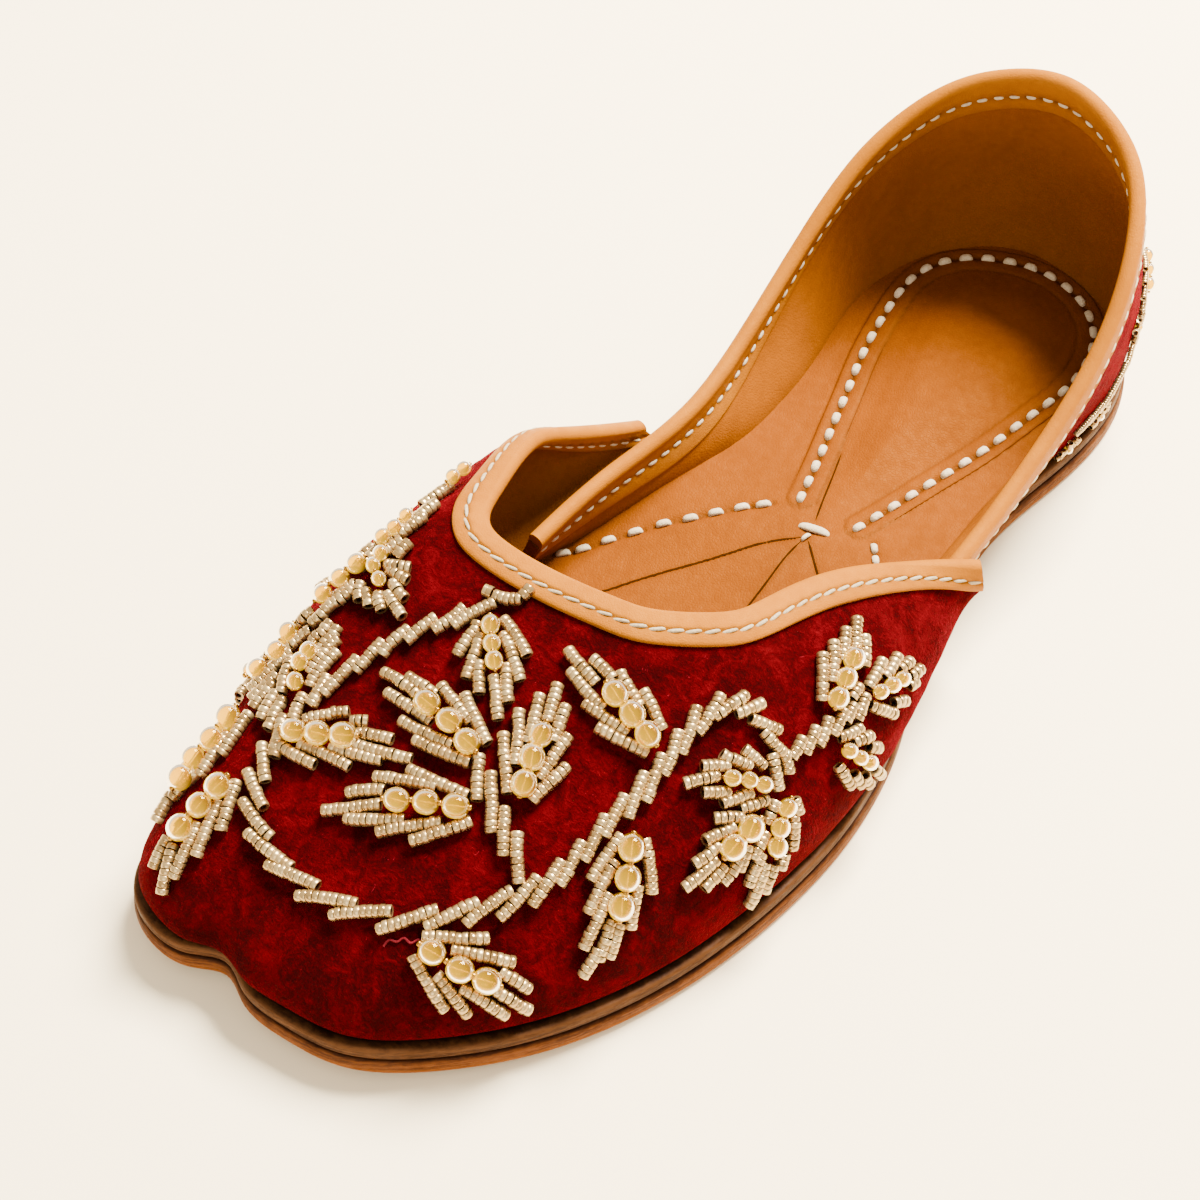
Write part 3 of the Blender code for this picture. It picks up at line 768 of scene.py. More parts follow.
def solePlate(name, node, rows, across, inset=0.0):
    # rows from underside to top: inset and height in millimetres, unevenness, shade, burnish
    halfCount = soleLooks["halfCount"]
    place = np.concatenate([np.linspace(0, 0.5, halfCount + 1), np.linspace(0.5, 1, halfCount + 1)[1:-1]])
    count = len(place)
    made = {"points": [], "shade": [], "burnish": []}
    for aside, height, uneven, shade, burnish in rows:
        bumpy = uneven * wobble(place, 31 + len(name), 26) * soleLooks["unevenness"]
        loop, _ = edgeAt(place, inset + aside * mm + bumpy)
        made["points"] += np.column_stack([loop, floorHeight(loop[:, 1]) + height * mm]).tolist()
        made["shade"] += [shade] * count
        made["burnish"] += [burnish] * count
    faces = []
    for ring in range(len(rows) - 1):
        a, b = ring * count, (ring + 1) * count
        faces += [(a + i, b + i, b + (i + 1) % count, a + (i + 1) % count) for i in range(count)]
    for ring, flip in ((0, False), (len(rows) - 1, True)):
        start, total = ring * count, len(made["points"])
        loop = np.array(made["points"][start:start + count])[:, :2]
        flat, lines = ringFill(loop, halfCount, across)
        lines = [[v + start if v < count else v - count + total for v in line] for line in lines]
        faces += fillFaces(lines, 0, flip)
        inside = flat[count:]
        level = floorHeight(inside[:, 1]) + rows[ring][1] * mm
        made["points"] += np.column_stack([inside, level]).tolist()
        made["shade"] += [rows[ring][3] * soleLooks["innerShade"]] * len(inside)
        made["burnish"] += [0.0] * len(inside)
    points = made.pop("points")
    piece = meshPiece(name, points, faces, finishes[node], node + "_leather", 60, made)
    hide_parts(node)


outsoleTop = shoe["outsole"] / mm
solePlate("outsoleLeather", "outsole", [
    (1.3, 0.0, 0.3, 0.0, 0.0), (0.5, 0.10, 0.6, 0.0, 0.8), (0.12, 0.45, 1.0, 0.0, 1.0),
    (0.0, 0.9, 1.0, 0.0, 0.85), (0.08, 1.4, 1.0, 0.0, 0.3), (0.0, 1.9, 1.0, 0.05, 0.1),
    (0.05, 2.4, 1.0, 0.08, 0.05), (0.12, 2.9, 0.9, 0.15, 0.05), (0.35, outsoleTop - 0.35, 0.7, 0.35, 0.15),
    (0.8, outsoleTop - 0.05, 0.5, 0.8, 0.0), (1.5, outsoleTop, 0.3, 1.0, 0.0),
], 20)
low = (shoe["outsole"] + shoe["gap"]) / mm
high = low + shoe["midsole"] / mm
solePlate("midsoleLeather", "midsole", [
    (1.2, low, 0.3, 1.0, 0.0), (0.6, low + 0.1, 0.5, 0.8, 0.0), (0.2, low + 0.45, 0.9, 0.35, 0.0),
    (0.02, low + 0.9, 1.1, 0.1, 0.1), (0.0, low + 1.4, 1.1, 0.0, 0.2), (0.04, low + 1.9, 1.1, 0.0, 0.3),
    (0.12, high - 0.55, 1.0, 0.0, 0.6), (0.35, high - 0.15, 0.8, 0.0, 0.9), (0.7, high, 0.5, 0.0, 0.7),
    (1.3, high, 0.2, 0.25, 0.1), (2.4, high, 0.0, 0.9, 0.0),
], 6, soleLooks["midsoleInset"])
print("sole made")

# ---- upper: velvet over leather, vamp and quarter
upperLooks = {
    "velvet": 1.05 * mm,
    "velvetGrid": {"vamp": (460, 54), "quarter": (260, 36)},
    "liningGrid": {"vamp": (240, 30), "quarter": (260, 36)},
    "foot": 2.6 * mm,
    "tuck": 1.0 * mm,
    "tuckInside": 0.6 * mm,
    "between": 0.06 * mm,
    "waves": (0.28 * mm, 0.14 * mm, 0.18 * mm),
}


def wallGrid(wall, around, down):
    # the grid's distances below the edge and above the sole, its points, and how far its foot is drawn in
    place = stations(wall, around)
    ribs = walls[wall]["ribs"](place)
    length = np.sum(np.linalg.norm(np.diff(ribs, axis=1), axis=2), axis=1) - walls[wall]["edge"]
    share = 1 - (1 - np.linspace(0, 1, down)) ** 1.15
    distance = share[None, :] * length[:, None]
    centre, normal = wallSurface(wall, place, distance)
    normal[:, -1] = unit(normal[:, -1] * np.array([1.0, 1.0, 0.0]))
    normal[:, -2] = unit(normal[:, -2] + normal[:, -1])
    left = length[:, None] - distance
    tuck = upperLooks["tuck"] * (1 - smooth(left, 0, upperLooks["foot"])) ** 2
    return place[:, None], distance, left, centre, normal, tuck


def velvetSheet(wall):
    place, distance, left, centre, normal, tuck = wallGrid(wall, *upperLooks["velvetGrid"][wall])
    large, small, _ = upperLooks["waves"]
    loose = large * wobble(place * 9 + distance / (60 * mm), 3, 6) * smooth(distance, 6 * mm, 14 * mm)
    loose = (loose + small * wobble(place * 23 - distance / (23 * mm), 5, 6)) * smooth(left, 0, 6 * mm)
    skin = centre + normal * (loose - tuck)[..., None]
    core = centre - normal * (upperLooks["velvet"] + np.minimum(tuck, upperLooks["tuckInside"]))[..., None]
    # the foot mark carries painted shade along the tucked-in foot and over the hidden inner face
    foot = 1 - smooth(left, 0.2 * mm, 2.2 * mm)
    marks = {"foot": np.concatenate([foot.ravel(), np.ones(foot.size)])}
    return meshPiece(wall + "Velvet", *closedSheet(skin, core), finishes["velvet"], "velvet", 60, marks)


def liningSheet(wall):
    place, distance, left, centre, normal, tuck = wallGrid(wall, *upperLooks["liningGrid"][wall])
    back = upperLooks["velvet"] + upperLooks["between"] + np.minimum(tuck, upperLooks["tuckInside"])
    crease = upperLooks["waves"][2] * wobble(place * 14 + distance / (35 * mm), 11, 6)
    thick = walls[wall]["wall"] + crease * smooth(distance, 4 * mm, 9 * mm) * smooth(left, 0, 5 * mm)
    deep = 0.12 * smooth(distance, 6 * mm, 30 * mm) + 0.3 * (1 - smooth(left, 0, 5 * mm))
    marks = {"shade": np.concatenate([np.zeros(deep.size), np.clip(deep, 0, 1).ravel()])}
    sheet = closedSheet(centre - normal * back[..., None], centre - normal * thick[..., None])
    meshPiece(wall + "Lining", *sheet, finishes["lining"], "lining_leather", 60, marks)


velvets = {}
for wall in ("vamp", "quarter"):
    velvets[wall] = velvetSheet(wall)
    liningSheet(wall)
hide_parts("upper")
print("upper made")

# ---- bindings: rolled strips with stitched flanges
bindingLooks = {
    "vampInner": 6.0 * mm,
    "quarterInner": 6.5 * mm,
    "thick": 0.9 * mm,
    "vampStitch": 3.45 * mm,
    "vampStitchAt": 0.75 * mm,
    "quarterStitch": 3.5 * mm,
    "quarterStitchAt": 2.6 * mm,
    "innerStitch": 3.5 * mm,
    "pull": 0.10 * mm,
    "unevenness": 0.06 * mm,
}


def edgeRun(wall, distance, height, count=3000):
    # place against length along a line that runs below the edge
    low, high = walls[wall]["range"]
    place = np.linspace(low, high, count)
    centre, normal = wallPoint(wall, place, distance)
    return place, runLength(centre + normal * height)


def rollArc(wall, roll, start, end, count):
    # the roll's round part, from inside over the edge to outside
    angles = np.radians(np.linspace(start, end, count))
    level = -walls[wall]["wall"] / 2
    return np.column_stack([-roll - shoe["gap"] - roll * np.cos(angles), level + roll * np.sin(angles)])


def flange(pairs, at=0.0, level=0.0):
    # (distance, height) pairs in millimetres, from a distance and a level
    return np.array(pairs) * mm + (at, level)


def vampProfile():
    inside = -walls["vamp"]["wall"] - 0.02 * mm
    lie = 0.05 + bindingLooks["thick"] / mm
    return np.vstack([
        rollArc("vamp", shoe["vampRoll"], -95, 60, 17),
        flange([(-0.75, 0.62), (-0.2, 0.86)]),
        flange([(-0.45, 0.84), (-0.12, 0.58), (0.12, 0.56), (0.45, 0.80)], bindingLooks["vampStitchAt"]),
        flange([(1.7, lie), (2.7, lie), (3.3, lie - 0.06), (3.55, lie - 0.3), (3.6, 0.06)]),
        flange([(2.4, 0.04), (1.0, 0.04), (-0.2, 0.04), (-0.28, -0.4)]),
        flange([(-0.28, 0.3), (-0.1, 0), (2.5, 0)], 0, inside),
        flange([(0, 0), (0, -0.45)], bindingLooks["vampInner"], inside),
        flange([(5.2, -0.5), (3.1, -0.5), (2.4, -0.34), (1.6, -0.5), (0.3, -0.62), (-0.9, -0.60)], 0, inside),
    ])


def quarterProfile():
    inside = -walls["quarter"]["wall"] - 0.02 * mm
    wide = bindingLooks["quarterInner"]
    return np.vstack([
        rollArc("quarter", shoe["quarterRoll"], -100, 84, 21),
        flange([(-0.9, 0.62), (-0.1, 0.60), (0.7, 0.55), (1.1, 0.42), (1.5, 0.55)]),
        flange([(2.0, 0.55), (2.2, 0.40), (2.2, 0.04), (0.8, 0.04), (-0.28, 0.04)]),
        flange([(-0.28, 0), (wide / mm / 2, 0)], 0, inside),
        flange([(0, 0), (0, -0.45), (-0.4, -0.58)], wide, inside),
        flange([(1.6, -0.60), (0.6, -0.58), (0, -0.42), (-0.6, -0.62)],
               bindingLooks["quarterStitchAt"], inside),
        flange([(0.9, -0.80), (-0.3, -0.86)], 0, inside),
    ])


def bindingPiece(wall, profile, around):
    # the stitches pull the strip in where they lie
    stitchAt, stitchLength = bindingLooks[wall + "StitchAt"], bindingLooks[wall + "Stitch"]
    place = stations(wall, around)
    centre, normal = wallSurface(wall, place, profile[:, 0])
    where, run = edgeRun(wall, stitchAt, profile[:, 1].max())
    along = np.interp(place, where, run)
    beat = np.cos(2 * np.pi * along / stitchLength)[:, None]
    near = np.exp(-((profile[:, 0] - stitchAt) / (0.9 * mm)) ** 2)[None]
    level = profile[:, 1] + walls[wall]["wall"] / 2
    facing = np.sign(level)[None]
    shown = (np.abs(level) > walls[wall]["wall"] / 2 + 0.3 * mm)[None]
    height = profile[None, :, 1] + bindingLooks["pull"] * beat * near * facing * shown
    uneven = wobble(along[:, None] / (55 * mm), 17, 7)
    height = height + bindingLooks["unevenness"] * uneven * facing * shown
    groove = np.exp(-((profile[:, 0] - stitchAt) / (0.72 * mm)) ** 2) * shown[0]
    shade = groove * (0.42 + 0.5 * np.clip(-beat, 0, 1))
    shade[:, np.abs(profile[:, 0] - profile[:, 0].max()) < 0.12 * mm] += 0.35
    piece = meshPiece(wall + "Binding", *sweptStrip(centre + normal * height[..., None]), finishes["binding"],
                      "binding_leather", 45, {"shade": shade.ravel()})
    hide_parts(wall + "_binding")


bindingPiece("vamp", vampProfile(), 900)
bindingPiece("quarter", quarterProfile(), 700)


def stitchTemplate(length, width, height, sides=8):
    # a plump stitch, its ends going down into the leather
    shares = [-0.5, -0.46, -0.38, -0.22, 0.0, 0.22, 0.38, 0.46, 0.5]
    angles = [2 * math.pi * k / sides for k in range(sides)]
    points = []
    for share in shares:
        size = (math.sqrt(max(0.0, 1 - (2 * share) ** 4)) * 0.9 + 0.1) / 2
        sink = -0.55 * height * (2 * abs(share)) ** 4
        points += [(share * length, size * width * math.cos(a), sink + size * height * math.sin(a))
                   for a in angles]
    return points, ringFaces(len(shares), sides)


# rows of stitches: wall, distance below the edge, height, pitch, the stitch's size, thread, slant
stitchRows = {
    "vampStitches": ("vamp", bindingLooks["vampStitchAt"], 0.72 * mm, bindingLooks["vampStitch"],
                     (3.6 * mm, 0.74 * mm, 0.66 * mm), "tanThread", 0.17),
    "vampInnerStitches": ("vamp", 2.4 * mm, -shoe["vampWall"] - 0.42 * mm, bindingLooks["innerStitch"],
                          (2.6 * mm, 0.8 * mm, 0.6 * mm), "whiteThread", 0.0),
    "quarterStitches": ("quarter", bindingLooks["quarterStitchAt"], -shoe["quarterWall"] - 0.56 * mm,
                        bindingLooks["quarterStitch"], (2.5 * mm, 0.88 * mm, 0.7 * mm), "whiteThread", 0.0),
    "quarterOuterStitches": ("quarter", 1.1 * mm, 0.50 * mm, bindingLooks["innerStitch"],
                             (2.5 * mm, 0.7 * mm, 0.55 * mm), "whiteThread", 0.0),
}
stitchLooks = {
    "start": 2.0 * mm,
    "unevenness": 0.03,
    "lean": 0.04,
    "length": (0.93, 1.05),
    "width": (0.92, 1.06),
}


def stitchRow(name, wall, distance, height, pitch, size, thread, slant):
    where, run = edgeRun(wall, distance, height)
    spots = np.arange(stitchLooks["start"], run[-1] - stitchLooks["start"], pitch)
    count = len(spots)
    spots = spots + chance.uniform(-stitchLooks["unevenness"], stitchLooks["unevenness"], count) * pitch
    centre, normal = wallPoint(wall, np.interp(spots, run, where), distance)
    before, after = (wallPoint(wall, np.interp(spots + step, run, where), distance)[0]
                     for step in (-pitch / 2, pitch / 2))
    up = normal * (1 if height > -walls[wall]["wall"] / 2 else -1)
    lean = slant + chance.uniform(-stitchLooks["lean"], stitchLooks["lean"], count)
    spin = np.zeros((count, 3, 3))
    spin[:, 0, 0] = spin[:, 1, 1] = np.cos(lean)
    spin[:, 1, 0] = np.sin(lean)
    spin[:, 0, 1] = -spin[:, 1, 0]
    spin[:, 2, 2] = 1
    long, wide = (chance.uniform(*stitchLooks[key], count) for key in ("length", "width"))
    turns = turned(after - before, up) @ spin
    sizes = np.column_stack([long, wide, wide])
    points, faces = copies(stitchTemplate(*size), centre + normal * height, turns, sizes)
    meshPiece(name, points, faces, finishes[thread], "thread", 60)


endLooks = {
    "reach": 0.0035,  # of the way round the sole
    "past": 0.0006,
    "depth": 13.0 * mm,
    "lie": 0.3 * mm,
    "shade": 0.45,
}


def quarterEnd(name, low, high):
    # a leather facing folded over the quarter's cut end, inside the vamp
    place = np.linspace(low, high, 5)
    distance = np.linspace(-0.4 * mm, endLooks["depth"], 16)
    centre, normal = wallSurface("quarter", place, np.tile(distance, (len(place), 1)))
    points, faces = closedSheet(centre + normal * endLooks["lie"],
                                centre - normal * (shoe["quarterWall"] + endLooks["lie"]))
    marks = {"shade": [endLooks["shade"]] * len(points)}
    meshPiece(name, points, faces, finishes["lining"], "lining_leather", 40, marks)


quarterLow, quarterHigh = shoe["quarterRange"]
quarterEnd("innerQuarterEnd", quarterLow - endLooks["past"], quarterLow + endLooks["reach"])
quarterEnd("outerQuarterEnd", quarterHigh - endLooks["reach"], quarterHigh + endLooks["past"])

for name, row in stitchRows.items():
    stitchRow(name, *row)
print("bindings made")

# ---- insole with its heel pad
insoleLooks = {
    "halfCount": 360,
    "across": 116,
    "underAcross": 8,
    "bandInside": 3.5 * mm,  # the stitched band reaches this far to either side of its stitches
    "bandOutside": 2.8 * mm,
    "bandRise": 0.28 * mm,
    "padStitches": 42,
    "puff": 2.3 * mm,
    "heelLift": 1.4 * mm,
    "heelPull": 1.1 * mm,
    "bandFade": (22 * mm, 34 * mm),
    "padFade": (24 * mm, 62 * mm),
    "unevenness": 0.10 * mm,
    "overlapStep": 0.3 * mm,
}

# the pad's row of stitches in the picture, from the left leg round the heel to the right leg
padPixels = [
    (801, 498), (816, 466), (832, 428), (848, 390), (860, 359), (875, 327), (892, 299), (913, 275),
    (953, 257), (1004, 258), (1049, 272), (1082, 297), (1098, 336), (1079, 381), (1034, 418), (983, 452),
    (938, 480), (891, 509), (859, 528),
]


def insoleLevel(y):
    # the flat insole's top, a little higher on the heel cushion
    return upperSeat + shoe["insole"] + floorHeight(y) + insoleLooks["heelLift"] * smooth(y, 58 * mm, 92 * mm)


def flatPoint(pixel):
    # the insole's own level, seen at a picture point
    way = lookWay(pixel)
    level = upperSeat + shoe["insole"]
    for _ in range(5):
        place = eye + way * (level - eye[2]) / way[2]
        level = float(insoleLevel(place[1]))
    return place


def padLoop(count=300):
    points = np.array([flatPoint(pixel)[:2] for pixel in padPixels])
    middle = np.array([points[:, 0].mean(), 70 * mm])
    reach = np.linalg.norm(points - middle, axis=1)[:, None]
    pull = insoleLooks["heelPull"] * smooth(points[:, 1:], 66 * mm, 92 * mm)
    points = middle + (points - middle) * (1 - pull / reach)
    chord = runLength(points)
    return spline(chord, points)(np.linspace(0, chord[-1], count))


padOutline = padLoop()


def padDepth(points):
    # distance from the pad's stitches, negative outside the pad
    away = np.full(len(points), 9.0)
    crossings = np.zeros(len(points), int)
    closed = np.vstack([padOutline, padOutline[:1]])
    for k, (s, e) in enumerate(zip(closed[:-1], closed[1:])):
        w = e - s
        if k < len(padOutline) - 1:
            t = np.clip(((points - s) @ w) / max(w @ w, 1e-12), 0, 1)
            away = np.minimum(away, np.linalg.norm(s + w * t[:, None] - points, axis=1))
        crosses = (s[1] > points[:, 1]) != (e[1] > points[:, 1])
        hit = s[0] + (points[:, 1] - s[1]) * w[0] / (w[1] if w[1] else 1e-12)
        crossings += crosses & (hit > points[:, 0])
    return np.where(crossings % 2 == 1, away, -away)


def insoleInset(place):
    side = np.minimum(np.mod(place, 1), 1 - np.mod(place, 1))
    under = smooth(side, 0.14, 0.18) * (1 - smooth(side, 0.28, 0.31))
    toe = 1 - smooth(0.5 - side, 0.06, 0.16)
    vamp = smooth(side, 0.28, 0.34) * (shoe["vampWall"] - 0.3 * mm)
    return shoe["weltShow"] + 0.9 * mm + vamp + 0.8 * mm * under + 1.0 * mm * toe


def flatLine(pixels):
    return np.array([flatPoint(pixel)[:2] for pixel in pixels])


# seams of the insole: picture points, width, depth, shade
insoleSeams = {
    "overlap": ([(806, 537), (762.4, 543.5), (726, 554.6), (689.7, 565.3), (655.7, 575), (602.4, 592),
                 (560, 604)], 0.62 * mm, 0.55 * mm, 1.0),
    "centre": ([(801, 541.8), (784.2, 558.8), (769.6, 578.2), (750.3, 603.6), (722, 640)],
               0.40 * mm, 0.30 * mm, 0.75),
    "outer": ([(808.4, 541.8), (813.3, 558.8), (818.6, 578.2), (826, 610)], 0.42 * mm, 0.32 * mm, 0.8),
    "leg": ([(815.7, 520), (822, 503), (831.4, 480), (841, 455)], 0.34 * mm, 0.22 * mm, 0.6),
}
seamLines = {key: flatLine(row[0]) for key, row in insoleSeams.items()}
frontSpots = flatLine([(763.6, 504.2), (741.8, 507.1), (715.8, 512.2), (690.4, 518), (663.5, 523.6),
                       (635.1, 531.9), (608.5, 539.9), (583, 548.6), (563, 553)])
sideSpots = flatLine([(873.9, 547.9), (875.6, 560), (877, 572)])


def nearLine(points, line):
    away = np.full(len(points), 9.0)
    side = np.zeros(len(points))
    for s, e in zip(line[:-1], line[1:]):
        w = e - s
        t = np.clip(((points - s) @ w) / (w @ w), 0, 1)
        off = points - s - w * t[:, None]
        far = np.linalg.norm(off, axis=1)
        closer = far < away
        away = np.where(closer, far, away)
        side = np.where(closer, np.sign(w[0] * off[:, 1] - w[1] * off[:, 0]), side)
    return away, side


def ridge(distance, width):
    return np.exp(-(distance / width) ** 2)


def insoleRelief(points):
    # height above the flat sheet, and shade, for points of its top face
    depth = padDepth(points)
    inside, outside = insoleLooks["bandInside"], insoleLooks["bandOutside"]
    fade = smooth(points[:, 1], *insoleLooks["bandFade"])
    pad = insoleLooks["puff"] * smooth(depth, inside * 0.9, inside + 12 * mm) ** 0.75
    pad = pad * smooth(points[:, 1], *insoleLooks["padFade"])
    band = insoleLooks["bandRise"] * smooth(depth, -outside - 0.25 * mm, -outside + 0.25 * mm)
    band = band * (1 - smooth(depth, inside - 0.5 * mm, inside + 0.2 * mm))
    groove = ridge(depth, 1.1 * mm)
    inner = ridge(depth - inside, 0.32 * mm)
    outer = ridge(depth + outside + 0.1 * mm, 0.24 * mm)
    height = pad + (band - 0.22 * mm * groove - 0.20 * mm * inner - 0.10 * mm * outer) * fade
    within = smooth(depth, -outside, -outside + 0.3 * mm) * (1 - smooth(depth, inside, inside + 0.5 * mm))
    shade = (0.34 * inner + 0.42 * outer + 0.10 * groove + 0.07 * within) * fade
    uneven = wobble(points[:, 0] / (26 * mm) + 0.6 * points[:, 1] / (41 * mm), 23, 7)
    height = height + insoleLooks["unevenness"] * uneven
    for key, (_, width, deep, dark) in insoleSeams.items():
        away, side = nearLine(points, seamLines[key])
        step = 0.0
        if key == "overlap":
            step = insoleLooks["overlapStep"] * np.clip(1 - away / (7 * mm), 0, 1) * (side > 0)
        height = height - 0.3 * deep * ridge(away, 0.55 * width) + step
        shade = shade + 0.3 * dark * ridge(away, 0.9 * mm)
    for line in (frontSpots, sideSpots):
        away, _ = nearLine(points, line)
        height = height - 0.22 * mm * ridge(away, 1.4 * mm)
        shade = shade + 0.08 * ridge(away, 1.6 * mm)
    for spot in stitchHoles:
        away = np.linalg.norm(points - spot, axis=1)
        near = away < 3 * mm
        height[near] -= 0.35 * mm * ridge(away[near], 0.7 * mm)
        shade[near] += 0.8 * ridge(away[near], 0.5 * mm)
    return height, np.clip(shade, 0, 1)


def waysAlong(spots):
    return np.gradient(spots, axis=0)


padRun = runLength(padOutline)
padSpots = follow(padRun, padOutline, np.linspace(0, padRun[-1], insoleLooks["padStitches"]))
holeReach = ((padSpots, 1.95 * mm), (frontSpots, 2.1 * mm), (sideSpots, 1.3 * mm))
stitchHoles = np.vstack([spots + side * reach * unit(waysAlong(spots)) for side in (-1, 1)
                         for spots, reach in holeReach])


def insolePiece():
    halfCount = insoleLooks["halfCount"]
    side = np.interp(np.linspace(0, 1, halfCount + 1), [0, 0.84, 1], [0, 0.31, 0.5])
    place = np.concatenate([side, 1 - side[-2:0:-1]])
    count = len(place)
    loop, _ = edgeAt(place, insoleInset(place), shoe["notchFill"])
    flat, lines = ringFill(loop, halfCount, insoleLooks["across"])
    low, lowLines = ringFill(loop, halfCount, insoleLooks["underAcross"])
    relief, shade = insoleRelief(flat)
    top = np.column_stack([flat, insoleLevel(flat[:, 1]) + relief])
    under = np.column_stack([low, upperSeat + floorHeight(low[:, 1])])
    total = len(flat)
    faces = fillFaces(lines, 0, True) + fillFaces(lowLines, total, False)
    for i in range(count):
        k = (i + 1) % count
        faces.append((total + i, i, k, total + k))
    points = np.vstack([top, under])
    marks = {"shade": np.concatenate([shade, np.zeros(len(low))])}
    piece = meshPiece("insoleLeather", points, faces, finishes["insole"], "insole_leather", 55, marks)
    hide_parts("insole")
    return piece


insoleLeather = insolePiece()
insoleTree = treeOf(insoleLeather)


# a strip's section: share of its half width, height in millimetres
seamSection = [(-1, 0.0), (-0.5, 0.05), (0.5, 0.05), (1, 0.0), (1, -0.5), (-1, -0.5)]
seamLift = 0.09 * mm


def onInsole(spot):
    return insoleTree.ray_cast(Vector((*spot, 0.08)), Vector((0, 0, -1)))


def seamStrips(name, lines, finish):
    # narrow strips let into the top face: each line has its width at the middle
    points, faces = [], []
    for line, width in lines:
        run = runLength(line)
        spots = np.linspace(0, run[-1], max(4, int(run[-1] / (0.7 * mm))))
        centre = spline(run, line)(spots)
        way = np.gradient(centre, axis=0)
        side = unit(np.column_stack([-way[:, 1], way[:, 0]]))
        share = spots / run[-1]
        taper = np.clip(np.minimum(share, 1 - share) * 12, 0.2, 1)
        half = width / 2 * taper * (1 + 0.18 * wobble(share, len(line), 9))
        sections = []
        for place, out, wide in zip(centre, side, half):
            section = []
            for across, height in seamSection:
                spot = place + out * wide * across
                hit = onInsole(spot)[0]
                level = hit[2] if hit is not None else upperSeat + shoe["insole"]
                section.append((*spot, level + seamLift + height * mm))
            sections.append(section)
        made, ring = sweptStrip(np.array(sections))
        faces += [[v + len(points) for v in face] for face in ring]
        points += made.tolist()
    meshPiece(name, points, faces, finish, "insole_leather", 60)


def besideLoop(distance, start, end):
    # the line beside the pad's stitches, inside it for a positive distance
    way = np.gradient(padOutline, axis=0)
    side = unit(np.column_stack([-way[:, 1], way[:, 0]]))
    count = len(padOutline)
    middle = slice(count // 2, count // 2 + 1)
    inward = np.sign(padDepth(padOutline[middle] + side[middle] * mm))
    line = padOutline + side * inward * distance
    return line[int(start * count):int(end * count):6]


# near-black strips along the seams: dark joints, with painted shade below the overlapping edge
seamStrips("insoleSeams", [(seamLines[key], row[1]) for key, row in insoleSeams.items()], finishes["seam"])
# dark strips in the pad's creases: painted shade
seamStrips("padCreaseShade", [(besideLoop(-insoleLooks["bandOutside"], 0.03, 0.34), 0.24 * mm),
                          (besideLoop(-insoleLooks["bandOutside"], 0.70, 0.97), 0.18 * mm),
                          (besideLoop(insoleLooks["bandInside"], 0.10, 0.26), 0.18 * mm)], finishes["crease"])


def stitchesOn(name, spots, ways, size, lift, sizes=None):
    centres, turns = [], []
    for spot, way in zip(spots, ways):
        hit, normal = (np.array(found) for found in onInsole(spot)[:2])
        centres.append(hit + normal * lift)
        ahead = np.array([*way, 0.0])
        turns.append(turned(ahead - normal * (ahead @ normal), normal))
    points, faces = copies(stitchTemplate(*size, 10), centres, turns, sizes)
    meshPiece(name, points, faces, finishes["whiteThread"], "thread", 60)


stitchesOn("padStitches", padSpots, waysAlong(padSpots), (3.1 * mm, 1.75 * mm, 1.4 * mm), 0.35 * mm)
stitchesOn("frontStitches", frontSpots, waysAlong(frontSpots), (3.4 * mm, 1.6 * mm, 1.4 * mm), 0.35 * mm)
stitchesOn("sideStitches", sideSpots, waysAlong(sideSpots), (2.5 * mm, 1.5 * mm, 1.2 * mm), 0.30 * mm)
crossPixels = [((797.5, 524.8), (830.2, 535.7)), ((801, 542), (811, 535.5))]
crossEnds = np.array([flatLine(ends) for ends in crossPixels])
stitchesOn("crossStitch", crossEnds.mean(axis=1), crossEnds[:, 1] - crossEnds[:, 0],
           (7.0 * mm, 1.9 * mm, 1.2 * mm), 0.5 * mm, np.array([(1, 1, 1), (0.36, 0.5, 0.8)]))
print("insole made")

# ---- bead embroidery: places in the 1200 wide picture, laid on the velvet where they are seen
beadLooks = {
    "radius": 1.27 * mm,
    "length": 1.14 * mm,
    "hole": 0.5 * mm,
    "sides": 9,
    "amber": 2.45 * mm,
    "gold": 0.6 * mm,
    "bend": 0.35 * mm,
    "lift": 0.45 * mm,
    "stray": 0.045 * mm,
    "lie": 0.92,  # of the radius, above the velvet
    # the way the amber's painted glow faces
    "glowWay": (0.15, -0.9, 0.3),
}

